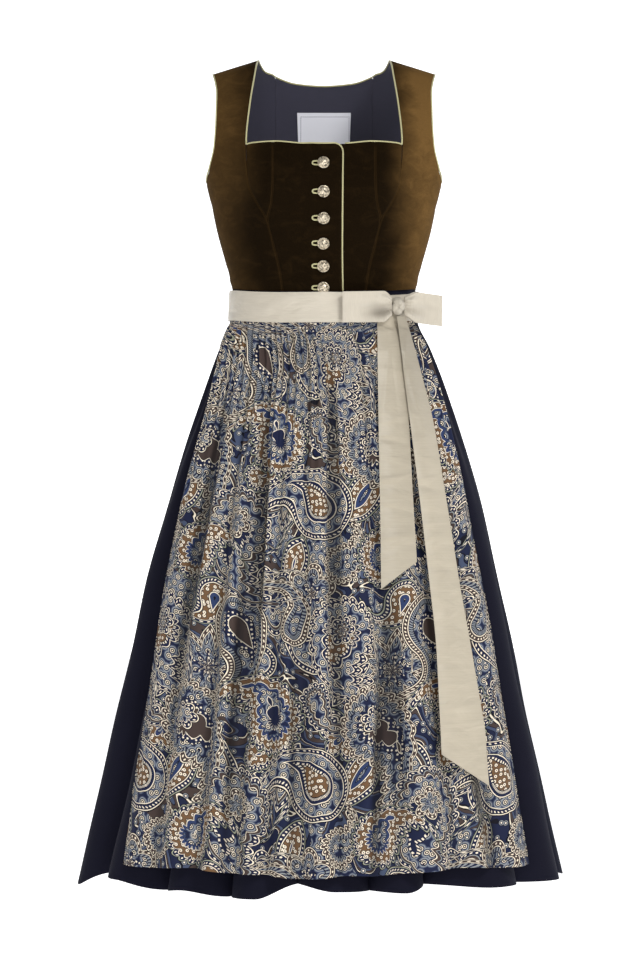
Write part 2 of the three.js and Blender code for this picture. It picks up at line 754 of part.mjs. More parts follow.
// Three turns of the tie run over the knot, as shallow grooves round it.
function knotPoint(around, level) {
  const ring = Math.sin(level * Math.PI);
  const groove = 1 - KNOT.groove * Math.cos(3 * 2 * Math.PI * around) ** 2 * ring;
  return knotMiddle
    .clone()
    .addScaledVector(awayFromBand, KNOT.out * groove * ring * Math.cos(2 * Math.PI * around))
    .addScaledVector(alongBand, KNOT.across * groove * ring * Math.sin(2 * Math.PI * around))
    .add(new THREE.Vector3(0, 0, KNOT.high * Math.cos(level * Math.PI)));
}
const knotRings = shares(9)
  .slice(1, -1)
  .map((level) => shares(16).slice(0, -1).map((around) => knotPoint(around, level)));
add("bow_knot", tubeOf(knotRings), MATERIALS.satin);

// A loop of ribbon: out from the knot, round its far end and back, pinched where it enters the knot.
const LOOPS = [
  { name: "bow_loop_right", towards: -1, tip: { x: 24, y: -105.5 }, puff: 4.6, bend: 3.5, tilt: 0 },
  { name: "bow_loop_left", towards: 1, tip: { x: 157, y: -50 }, puff: 6, bend: 1.5, tilt: -3 },
];
const LOOP = { pinched: 9, full: 20.3, startShare: 0.035, steps: 22, clear: -0.15 };

function loopSurface({ towards, tip, puff, bend, tilt }) {
  const start = knotMiddle.clone().addScaledVector(alongBand, towards * (KNOT.across + LOOP.clear));
  const reach = new THREE.Vector3(tip.x - start.x, tip.y - start.y, 0);
  const outward = new THREE.Vector3(-reach.y, reach.x, 0).normalize().multiplyScalar(towards);
  if (outward.y > 0) outward.negate();
  return (across, travel) => {
    const t = lerp(LOOP.startShare, 1 - LOOP.startShare, travel);
    const away = 0.5 - 0.5 * Math.cos(2 * Math.PI * t);
    const halfHeight = lerp(LOOP.pinched, LOOP.full, smoothstep(away, 0, 0.75));
    const out = puff * Math.sin(2 * Math.PI * t) + bend * Math.sin(Math.PI * away);
    return start
      .clone()
      .addScaledVector(reach, away)
      .addScaledVector(outward, out)
      .add(new THREE.Vector3(0, 0, lerp(-halfHeight, halfHeight, across) + tilt * away));
  };
}
for (const loop of LOOPS) {
  const grid = gridOf(loopSurface(loop), shares(4), shares(LOOP.steps), 1);
  add(loop.name, wallOf(grid, SATIN, () => SATIN / 2), MATERIALS.satin);
}

// The two tails hang from the knot over the apron. Each row gives the tail's edges at a height, and the last row's
// slant is how much lower its outer corner ends than its inner one.
const TAIL_TOP = -333.6;
const TAIL_SETTLED = -400;
const TAILS = [
  {
    name: "tail_short",
    over: 1,
    slant: { left: -34, right: 0 },
    rows: [
      { at: -658, left: 75, right: 121, depth: 1.2 },
      { at: -590, left: 74.5, right: 116, depth: 1.5 },
      { at: -526, left: 73.5, right: 110, depth: 1.5 },
      { at: -440, left: 73, right: 104, depth: 1.5 },
      { at: -380, left: 73, right: 100, depth: 1 },
      { at: -350, left: 74, right: 97, depth: 0.5 },
      { at: TAIL_TOP, left: 84, right: 98, depth: 0 },
    ],
  },
  {
    name: "tail_long",
    over: 4.2,
    slant: { left: 0, right: -38 },
    rows: [
      { at: -907, left: 149, right: 204.5, depth: 1 },
      { at: -840, left: 145, right: 195, depth: 1.5 },
      { at: -768, left: 139.5, right: 184.5, depth: 1.5 },
      { at: -694, left: 131, right: 172, depth: 1.5 },
      { at: -621, left: 121, right: 158.5, depth: 1.5 },
      { at: -550, left: 112, right: 147, depth: 1.5 },
      { at: -478, left: 103.5, right: 135, depth: 1.5 },
      { at: -406, left: 98.5, right: 121.5, depth: 1 },
      { at: -356, left: 97, right: 112.5, depth: 0.5 },
      { at: TAIL_TOP, left: 96.5, right: 108, depth: 0 },
    ],
  },
];
const TAIL_WAVES = 1.5;

function tailPoint({ over, slant, rows }) {
  const left = curve(rows, "left");
  const right = curve(rows, "right");
  const depth = curve(rows, "depth");
  const end = rows[0].at;
  const cut = (end + rows[1].at) / 2;
  return (share, height) => {
    const x = lerp(left(height), right(height), share);
    const atEnd = 1 - smoothstep(height, end, cut);
    const z = height + atEnd * lerp(slant.left, slant.right, share);
    const drop = -z - BODICE_LENGTH;
    const apronReach = apron.depth(Math.max(drop - APRON_TOP, 0));
    const out = APRON_OVER_SKIRT + apronReach + SATIN + over + depth(height) * Math.sin(TAIL_WAVES * Math.PI * share);
    const settled = lerp(BAND_OUT + KNOT.out + over / 2, out, smoothstep(-height, -TAIL_TOP, -TAIL_SETTLED));
    const side = skirt.side(drop) + Math.max(out, settled);
    const angle = Math.asin(clamp(x / side, -1, 1));
    return new THREE.Vector3(x, -(skirt.front(drop) + Math.max(out, settled)) * Math.cos(angle), z);
  };
}
for (const tail of TAILS) {
  const heights = tail.rows.map((row) => row.at);
  const grid = gridOf(tailPoint(tail), shares(5), heights, 1);
  add(tail.name, wallOf(grid, SATIN, () => SATIN / 2), MATERIALS.satin);
}

export default dirndl;
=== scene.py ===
"""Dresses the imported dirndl: velvet, piping, silver buttons, printed apron, satin bow, camera and light.

The tables of sizes are in millimetres, as a pattern cutter writes them, and every mesh is made in metres.
"""

import json
import math

import bmesh
import bpy
import numpy as np
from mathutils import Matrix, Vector

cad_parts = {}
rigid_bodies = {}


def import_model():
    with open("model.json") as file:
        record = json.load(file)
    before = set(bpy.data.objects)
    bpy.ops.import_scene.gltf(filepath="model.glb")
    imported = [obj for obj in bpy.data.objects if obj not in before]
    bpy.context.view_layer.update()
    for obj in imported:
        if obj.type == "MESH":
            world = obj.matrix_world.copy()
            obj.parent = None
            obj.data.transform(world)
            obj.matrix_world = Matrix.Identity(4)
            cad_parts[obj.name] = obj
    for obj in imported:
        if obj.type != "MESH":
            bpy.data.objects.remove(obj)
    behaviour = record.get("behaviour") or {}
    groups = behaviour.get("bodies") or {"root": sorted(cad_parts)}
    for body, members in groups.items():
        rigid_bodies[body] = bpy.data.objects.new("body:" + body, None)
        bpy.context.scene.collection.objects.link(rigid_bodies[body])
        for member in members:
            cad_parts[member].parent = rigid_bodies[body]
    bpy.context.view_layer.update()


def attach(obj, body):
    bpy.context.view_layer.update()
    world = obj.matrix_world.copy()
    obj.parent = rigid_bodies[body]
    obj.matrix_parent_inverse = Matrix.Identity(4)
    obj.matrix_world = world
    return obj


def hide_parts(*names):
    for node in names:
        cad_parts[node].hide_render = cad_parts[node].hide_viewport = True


bl_info = {
    "name": "Dirndl",
    "version": (1, 0, 0),
    "blender": (4, 5, 0),
    "location": "View3D > Sidebar > Dirndl",
    "description": "Dresses the dirndl's frame in velvet, print and satin",
    "category": "Object",
}

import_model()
MM = 0.001


# Sizes and colours that a user would change


def shade(red, green, blue):
    """A colour of the photograph's range, 0 to 255, as the linear colour that a shader takes."""
    parts = [channel / 255 for channel in (red, green, blue)]
    return tuple(p / 12.92 if p <= 0.04045 else ((p + 0.055) / 1.055) ** 2.4 for p in parts)


def length(name, description, default):
    return bpy.props.FloatProperty(name=name, description=description, default=default, min=0, unit="LENGTH")


def colour(name, description, default):
    return bpy.props.FloatVectorProperty(
        name=name, description=description, default=default, size=3, min=0, max=1, subtype="COLOR"
    )


class DirndlSizes(bpy.types.PropertyGroup):
    velvet: length("Velvet", "Thickness of the bodice's velvet", 0.0015)
    lining: length("Lining", "Thickness of the lining", 0.0008)
    skirt: length("Skirt cloth", "Thickness of the skirt's cloth", 0.0012)
    apron: length("Apron cloth", "Thickness of the apron's cloth", 0.0012)
    satin: length("Satin", "Thickness of the band, bow and tails", 0.0012)
    piping: length("Piping", "Radius of the covered cord", 0.0011)
    button: length("Button", "Radius of a button", 0.008)
    repeat_width: length("Repeat width", "Width of the print's repeat", 0.30)
    repeat_height: length("Repeat height", "Height of the print's repeat", 0.37)


class DirndlColours(bpy.types.PropertyGroup):
    # The Velvet colour is the velvet's tone where its painted sheen is fullest; the middle is painted far
    # darker.
    velvet: colour("Velvet", "Ground colour of the velvet", shade(106, 79, 43))
    velvet_sheen: colour("Velvet sheen", "Colour of the velvet's lit pile", shade(190, 160, 104))
    lining: colour("Lining", "Colour of the lining", shade(43, 41, 58))
    label: colour("Label", "Colour of the woven label", shade(240, 240, 246))
    piping: colour("Piping", "Colour of the piping and buttonholes", shade(184, 178, 130))
    silver: colour("Silver", "Colour of the buttons", shade(205, 192, 168))
    skirt: colour("Skirt", "Colour of the skirt", shade(15, 15, 29))
    satin: colour("Satin", "Colour of the band and the bow", shade(194, 185, 168))
    floor: colour("Floor", "Colour of the floor", (0.9, 0.9, 0.9))


def sizes():
    return bpy.context.scene.dirndl_sizes


def colours():
    return bpy.context.scene.dirndl_colours


# Tables and the curves through them


def table(columns, *rows):
    """The rows of a table, each by the names of its columns."""
    return [dict(zip(columns.split(), row)) for row in rows]


def curve(rows, column, flat_start=False):
    """A smooth curve through a column of a table, against `at`, with no overshoot between rows."""
    at = np.array([row["at"] for row in rows], float)
    value = np.array([row[column] for row in rows], float)
    rise = np.diff(value) / np.diff(at)
    before = np.concatenate([rise[:1], rise])
    after = np.concatenate([rise, rise[-1:]])
    product = before * after
    total = np.where(product > 0, before + after, 1)
    slope = np.where(product > 0, 2 * product / total, 0)
    if flat_start:
        slope[0] = 0

    def read(where):
        x = np.clip(where, at[0], at[-1])
        i = np.clip(np.searchsorted(at, x, side="right") - 1, 0, len(rise) - 1)
        step = at[i + 1] - at[i]
        t = (x - at[i]) / step
        blend = t * t * (3 - 2 * t)
        bend = t * (1 - t) ** 2 * slope[i] - t * t * (1 - t) * slope[i + 1]
        return value[i] + (value[i + 1] - value[i]) * blend + step * bend

    return read


def curves(rows, *flat_start):
    """A curve through each column of a table, level at its start where the column is named."""
    return {column: curve(rows, column, column in flat_start) for column in rows[0] if column != "at"}


def smoothstep(x, low, high):
    t = np.clip((x - low) / (high - low), 0, 1)
    return t * t * (3 - 2 * t)


def mix(a, b, share):
    return a + (b - a) * share


def bell(distance, half_width):
    return np.exp(-((distance / half_width) ** 2))


def creased(x, z, creases):
    """How far soft creases move cloth out at x, z, in millimetres.

    Each has a middle, a lean, a half length and width, and a depth. One with a roll is steep on one side.
    """
    out = np.zeros(np.broadcast(x, z).shape)
    for crease in creases:
        lean = math.radians(crease["lean"])
        dx, dz = x - crease["x"], z - crease["z"]
        along = dx * math.cos(lean) + dz * math.sin(lean)
        across = dz * math.cos(lean) - dx * math.sin(lean)
        roll = 1 + crease.get("roll", 0) * across / crease["wide"]
        out = out + crease["depth"] * roll * bell(along, crease["long"]) * bell(across, crease["wide"])
    return out


def dim(tone, share):
    return tuple(min(1, channel * share) for channel in tone)


# Walls of cloth


WAIST_DIP = 5
RIBS_OUT = 5.5
ARMHOLES_IN = 3
CREASE = "x z lean long wide depth roll"
UP = np.array([0, 0, 1])


def settled(points):
    """Lets the front of the waist hang lower, fills out the ribs and draws in the back of the armholes."""
    x, y, z = points[..., 0], points[..., 1], points[..., 2]
    low = smoothstep(-y, 20, 95) * smoothstep(-z, 170, 290) * (1 - smoothstep(-z, 380, 700))
    full = RIBS_OUT * bell(z + 233, 48) * smoothstep(np.abs(x), 40, 120)
    drawn = ARMHOLES_IN * smoothstep(y, -5, 45) * smoothstep(np.abs(x), 85, 110) * smoothstep(z, -175, -110)
    return points + np.stack([np.sign(x) * (full - drawn), np.zeros_like(x), -WAIST_DIP * low], axis=-1)


def unit(vectors):
    return vectors / np.maximum(np.linalg.norm(vectors, axis=-1, keepdims=True), 1e-12)


def normals_of(grid, facing):
    """Unit normals of a grid of points, by its rows' and columns' directions."""
    return facing * unit(np.cross(np.gradient(grid, axis=1), np.gradient(grid, axis=0)))


def runs(grid):
    """How far each point lies along its row and along its column, over the cloth, in millimetres."""
    steps, climbs = (np.linalg.norm(np.diff(grid, axis=axis), axis=2) for axis in (1, 0))
    along = np.pad(np.cumsum(steps, axis=1), ((0, 0), (1, 0)))
    return along, np.pad(np.cumsum(climbs, axis=0), ((1, 0), (0, 0)))


def linked(name, mesh):
    piece = bpy.data.objects.new(name, mesh)
    bpy.context.collection.objects.link(piece)
    return piece


def wall(name, grid, facing, thickness, materials, lift=0.0, folds=None):
    """A closed wall of cloth: its outer face `lift` out from the grid, its inner face `thickness` behind.

    The map "Cloth" is each point's place on the flat cloth in metres, from the middle column and the first
    row. `folds` is a mask of painted light, from 0 to 1, kept on each point for the cloth's material: painted
    shade in the apron's fold valleys and in a bow loop's dent and creases, and painted highlight along the
    velvet's seams.
    """
    rows, columns = grid.shape[:2]
    normal = normals_of(grid, facing)
    outer = grid + normal * np.asarray(lift)[..., None]
    inner = outer - normal * thickness / MM
    points = settled(np.concatenate([outer.reshape(-1, 3), inner.reshape(-1, 3)])) * MM
    index = np.arange(rows * columns).reshape(rows, columns)
    corners = [index[:-1, :-1], index[:-1, 1:], index[1:, 1:], index[1:, :-1]]
    front = np.stack(corners, axis=2).reshape(-1, 4)
    back = front[:, ::-1] + rows * columns
    edge = np.concatenate([index[0, :-1], index[:-1, -1], index[-1, :0:-1], index[:0:-1, 0]])
    after = np.roll(edge, -1)
    rim = np.stack([edge, edge + rows * columns, after + rows * columns, after], axis=1)
    faces = np.concatenate([front, back, rim])
    if facing < 0:
        faces = faces[:, ::-1]
    mesh = bpy.data.meshes.new(name)
    mesh.from_pydata(points.tolist(), [], faces.tolist())
    along, up = runs(grid)
    flat = np.stack([along - along[:, columns // 2, None], up], axis=2).reshape(-1, 2) * MM
    uv = mesh.uv_layers.new(name="Cloth")
    uv.data.foreach_set("uv", np.concatenate([flat] * 2)[faces.reshape(-1)].astype(np.float32).reshape(-1))
    # The painted light mask goes on every point as an attribute that the materials read.
    if folds is not None:
        painted_light_values = np.tile(np.broadcast_to(folds, (rows, columns)).ravel(), 2).astype(np.float32)
        mesh.attributes.new("PaintedLight", "FLOAT", "POINT").data.foreach_set("value", painted_light_values)
    for material in materials:
        mesh.materials.append(material)
    slot = np.zeros(len(faces), np.int32)
    slot[len(front) : len(front) + len(back)] = len(materials) - 1
    mesh.polygons.foreach_set("material_index", slot)
    mesh.polygons.foreach_set("use_smooth", np.ones(len(faces), bool))
    mesh.set_sharp_from_angle(angle=math.radians(60))
    return linked(name, mesh)


def skin(name, rings, run, material):
    """A closed skin through rings of points in metres, `run` along them, with a flat face at either end."""
    count, sides = rings.shape[:2]
    index = np.arange(count * sides).reshape(count, sides)
    after = np.roll(index, -1, axis=1)
    quads = np.stack([index[:-1], after[:-1], after[1:], index[1:]], axis=2).reshape(-1, 4)
    mesh = bpy.data.meshes.new(name)
    ends = [index[0, ::-1].tolist(), index[-1].tolist()]
    mesh.from_pydata(settled(rings.reshape(-1, 3) / MM).dot(MM).tolist(), [], quads.tolist() + ends)
    uv = mesh.uv_layers.new(name="Cloth")
    for polygon in mesh.polygons:
        last = polygon.index < len(quads) and (polygon.index + 1) % sides == 0
        for loop in polygon.loop_indices:
            vertex = mesh.loops[loop].vertex_index
            share = vertex % sides / sides
            uv.data[loop].uv = (run[vertex // sides], 1.0 if last and share == 0 else share)
    mesh.materials.append(material)
    mesh.polygons.foreach_set("use_smooth", np.ones(len(mesh.polygons), bool))
    piece = linked(name, mesh)
    recalculate(piece)
    return piece


def tube(name, path, normal, radius, material, sides=10):
    """A closed round cord along a path, in millimetres, with rounded ends."""
    tangent = unit(np.gradient(path, axis=0))
    side = unit(np.cross(tangent, normal))
    up = np.cross(side, tangent)
    turned = np.arange(sides) * 2 * math.pi / sides
    swell = np.full(len(path), radius / MM)
    swell[[0, -1]] /= 2
    around = side[:, None] * np.cos(turned)[None, :, None] + up[:, None] * np.sin(turned)[None, :, None]
    rings = (path[:, None] + around * swell[:, None, None]) * MM
    run = np.concatenate([[0], np.cumsum(np.linalg.norm(np.diff(path, axis=0), axis=1))]) * MM
    return skin(name, rings, run, material)


def deselect():
    for thing in bpy.context.view_layer.objects:
        thing.select_set(False)


def recalculate(piece):
    """Turns a closed piece's faces outwards."""
    deselect()
    piece.select_set(True)
    bpy.context.view_layer.objects.active = piece
    bpy.ops.object.mode_set(mode="EDIT")
    bpy.ops.mesh.select_all(action="SELECT")
    bpy.ops.mesh.normals_make_consistent(inside=False)
    bpy.ops.object.mode_set(mode="OBJECT")
    piece.select_set(False)


def fit(piece, nodes):
    """Puts a finished piece on the dress in place of its solids."""
    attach(piece, "root")
    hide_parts(*nodes)
    return piece


LEAST_AREA = 0.31


def declare(grid):
    """Works out the size that a piece of cloth's cut has, its widest, its longest and its area, and gives
    nothing back.
    """
    steps = np.linalg.norm(np.diff(grid, axis=1), axis=2).sum(axis=1).max() * MM
    climbs = np.linalg.norm(np.diff(grid, axis=0), axis=2).sum(axis=0).max() * MM
    along = np.diff(grid, axis=1)[:-1]
    up = np.diff(grid, axis=0)[:, :-1]
    area = np.linalg.norm(np.cross(along, up), axis=2).sum() * MM * MM
    area = min(max(area, LEAST_AREA * steps * climbs), steps * climbs)


def sew(node, grid, facing, thickness, materials, lift=0.0, folds=None):
    piece = wall(f"{node}_cloth", grid, facing, thickness, materials, lift, folds)
    fit(piece, [node])
    declare(grid)


# The body of the bodice


SECTIONS = table(
    "at drop half front back slope",
    (0, 0, 190, 0, 0, 1), (1, 6, 189, 26, 28, 1), (2, 24, 186, 52, 54, 0.9), (3, 62, 179, 84, 80, 0.5),
    (4, 113, 168, 110, 97, 0), (5, 163, 156, 119, 101, 0), (6, 205, 143, 114, 98, 0),
    (7, 245, 132, 102, 92, 0), (8, 275, 126, 94, 88, 0), (9, 300, 122, 91, 86, 0),
)
BODY = curves(SECTIONS, "drop", "half", "slope")
WAIST_LEVEL = 9
BODICE_LENGTH = 300
BODY_SQUARENESS = 0.88
NECK_POINT = {"across": 89, "height": 7.5}
SHOULDER_SLOPE = 0.32
NAPE_ROUNDING = 30
BUST = {"across": 70, "drop": 172, "half_width": 40, "half_height": 52, "fullness": 15}
HALVINGS = 30
SMALL_STEP = 1e-3

# The velvet's own soft creases: at the waist, at the underarm and under the bust.
VELVET_CREASES = table(
    CREASE,
    (-104, -286, 8, 26, 4.5, 1.3), (-98, -270, 14, 24, 5, -1.2), (-92, -252, 20, 26, 6, 1.7),
    (100, -288, -8, 26, 4.5, 1.2), (96, -272, -16, 22, 5, -1.2), (88, -256, -24, 28, 6, 1.7),
    (-134, -178, 38, 20, 5, -1.3), (134, -180, -38, 20, 5, -1.3),
    (-30, -290, 3, 22, 4, 1.7), (-34, -278, -6, 18, 4, -1.5), (42, -288, -4, 18, 4, 1.5),
    (-20, -190, 10, 14, 6, -0.7), (-20, -226, -8, 14, 6, -0.7), (-20, -258, 6, 14, 5, -0.7),
)
BACK_CREASED = 0.6


def shoulder_height(across):
    run = np.hypot(across, NAPE_ROUNDING) - math.hypot(NECK_POINT["across"], NAPE_ROUNDING)
    return NECK_POINT["height"] - SHOULDER_SLOPE * run


def body_point(angle, level, front):
    """A point of the body's outside: angle 0 is the middle, 90 degrees the wearer's left side."""
    x = BODY["half"](level) * np.sin(angle)
    z = BODY["slope"](level) * shoulder_height(x) - BODY["drop"](level)
    cos = np.cos(angle)
    roundness = np.sign(cos) * np.abs(cos) ** BODY_SQUARENESS
    if front:
        bust = bell(np.abs(x) - BUST["across"], BUST["half_width"])
        bust = bust * bell(z + BUST["drop"], BUST["half_height"])
        y = -BODY["front"](level) * roundness - BUST["fullness"] * bust
    else:
        y = BODY["back"](level) * roundness
    return np.stack(np.broadcast_arrays(x, y, z), axis=-1)


def level_at(angle, height, front):
    """The level at which the body has a height, at an angle."""
    high = np.zeros(np.broadcast(angle, height).shape)
    low = np.full(high.shape, float(WAIST_LEVEL))
    for _ in range(HALVINGS):
        middle = (high + low) / 2
        above = body_point(angle, middle, front)[..., 2] > height
        high = np.where(above, middle, high)
        low = np.where(above, low, middle)
    return low


def seam(*places):
    """A seam or edge as the angle at each level, from its distances from the middle, in millimetres."""
    turns = [(at, math.asin(max(-1, min(1, across / float(BODY["half"](at)))))) for at, across in places]
    return curve(table("at angle", *turns), "angle")


PRINCESS_LOW = ((6.2, 73), (7, 65), (8, 58.5), (9, 55))
SEAMS = {
    "overlap_edge": seam((3, -23.5), (9, -23.5)),
    "underlap_edge": seam((3, -12), (9, -12)),
    "princess": seam((4, 104), (5, 100), (5.6, 88), *PRINCESS_LOW),
    "bust_seam": seam((4, 67.5), (5, 67.5), (5.6, 69), *PRINCESS_LOW),
    "side_front_inner": seam(
        (0, 89), (1, 91), (2, 94), (3, 100), (4, 104), (5, 100), (5.6, 88), *PRINCESS_LOW
    ),
    "front_armhole": seam(
        (0, 148), (1, 146), (2, 142.5), (3, 142.5), (4, 145.5), (4.6, 153.5), (5, 156), (9, 122)
    ),
    "back_armhole": seam(
        (0, 148), (1, 145), (2, 141), (3, 139.5), (4, 143), (4.6, 152.5), (5, 156), (9, 122)
    ),
    "back_princess": seam(
        (0, 89), (0.5, 88), (1, 86), (1.35, 83.5), (1.62, 79), (1.75, 74), (1.88, 68), (2, 66), (2.6, 66),
        (4, 65), (5, 60), (6, 52), (7, 44), (9, 38),
    ),
    "far_back_princess": lambda level: -SEAMS["back_princess"](level),
}

OVERLAP = 23.5
OVERLAP_CORNER = 11
FRONT_HEIGHTS = table("at height", (0, -113), (30, -112), (65, -109), (95, -110.5), (105, -113))
FRONT_NECKLINE = curve(FRONT_HEIGHTS, "height", flat_start=True)
BACK_HEIGHTS = table("at height", (0, -22), (37, -19.4), (65, -11), (89, 7.5))
BACK_NECKLINE = curve(BACK_HEIGHTS, "height", flat_start=True)


def front_neckline(x):
    return FRONT_NECKLINE(np.abs(x))


def back_neckline(x):
    return BACK_NECKLINE(np.abs(x))


def overlap_neckline(x):
    """The right front's neckline, with the overlap's corner rounded off."""
    past = np.clip(x - (OVERLAP - OVERLAP_CORNER), 0, OVERLAP_CORNER)
    return front_neckline(x) - (OVERLAP_CORNER - np.sqrt(OVERLAP_CORNER**2 - past**2))


LAYER_GAP = 0.4
OVERLAP_LIFT = 2.6
LIFT_FROM = -30
RIGHT, LEFT = -1, 1
SIDES = (("right", RIGHT), ("left", LEFT))
SEAM_DENT = {"depth": 1.6, "wide": 2.2, "below": (125, 155)}
# Where a painted highlight runs along the velvet's seams: its distance from the edge, its half width, and the
# drops over which it fades in.
SEAM_PAINTED_HIGHLIGHT = {"from_edge": 1, "wide": 0.6, "below": (106, 125)}


def crowded(count, pull=0.75):
    """Shares from 0 to 1, closer together near both ends."""
    even = np.linspace(0, 1, count)
    return even - pull / (2 * math.pi) * np.sin(2 * math.pi * even)


def bodice_grid(side, front, inner, outer, bottom, top, neckline, columns, rows):
    """One cut piece of the bodice: columns from the seam nearer the middle, rows from its lower edge up."""
    inner, outer = SEAMS[inner], SEAMS[outer]
    share = crowded(columns)[None, :]
    tabled = bottom - (bottom - top) * crowded(rows)[:, None]
    ends = np.full(share.shape, float(top))
    if neckline is not None:
        angle = mix(inner(ends), outer(ends), share)
        ends = level_at(side * angle, neckline(side * BODY["half"](ends) * np.sin(angle)), front)
    level = bottom - (bottom - tabled) * (bottom - ends) / (bottom - top)
    return body_point(side * mix(inner(level), outer(level), share), level, front)


def seam_distance(grid):
    """Each point's distance in millimetres from the nearer side of its piece."""
    along, _ = runs(grid)
    return np.minimum(along, along[:, -1:] - along)


def bodice_grids():
    """The grid of every cut piece of the bodice."""
    pieces = {}
    for name, side in SIDES:
        edge, neckline = "overlap_edge", overlap_neckline
        if side == LEFT:
            edge, neckline = "underlap_edge", front_neckline
        for piece, *cut in (
            ("front", True, edge, "bust_seam", 9, 4, neckline, 48, 64),
            ("cup", True, "bust_seam", "princess", 6.2, 4, front_neckline, 24, 40),
            ("side_front", True, "side_front_inner", "front_armhole", 9, 0, None, 44, 110),
            ("side_back", False, "back_princess", "back_armhole", 9, 0, None, 44, 110),
        ):
            pieces[f"{piece}_{name}"] = bodice_grid(side, *cut)
    pieces["centre_back"] = bodice_grid(
        LEFT, False, "far_back_princess", "back_princess", 9, 2, back_neckline, 52, 70
    )
    return pieces


def facing_of(name):
    """1 where rows crossed with columns point out of a piece of the bodice, and -1 where they point in."""
    side = RIGHT if name.endswith("right") else LEFT
    return -side if "back" in name else side


def overlap_lift(x):
    return OVERLAP_LIFT * smoothstep(x, LIFT_FROM, LIFT_FROM / 2 + 1)


def bodice_lift(name, grid):
    """How far each point of a velvet piece stands off the body, by seams, creases and the overlap."""
    dent = SEAM_DENT["depth"] * bell(seam_distance(grid), SEAM_DENT["wide"])
    x, z = grid[..., 0], grid[..., 2]
    if name == "front_right":
        dent *= x < LIFT_FROM
    if "side" in name:
        dent *= smoothstep(-z, *SEAM_DENT["below"])
    lift = creased(x, z, VELVET_CREASES) * (BACK_CREASED if "back" in name else 1) - dent
    return lift + overlap_lift(x) if name == "front_right" else lift


# Node recipes


class Signal:
    """A node's output that can be reckoned with: each sum or test adds a node to its recipe."""

    def __init__(self, recipe, socket):
        self.recipe, self.socket = recipe, socket

    def __abs__(self):
        return self.recipe.math("ABSOLUTE", self)

    def __rsub__(self, other):
        return self.recipe.math("SUBTRACT", other, self)


def reckon(operation):
    return lambda self, other: self.recipe.math(operation, self, other)


for sign, operation in (
    ("add", "ADD"), ("sub", "SUBTRACT"), ("mul", "MULTIPLY"), ("truediv", "DIVIDE"),
    ("gt", "GREATER_THAN"), ("lt", "LESS_THAN"),
):
    setattr(Signal, f"__{sign}__", reckon(operation))


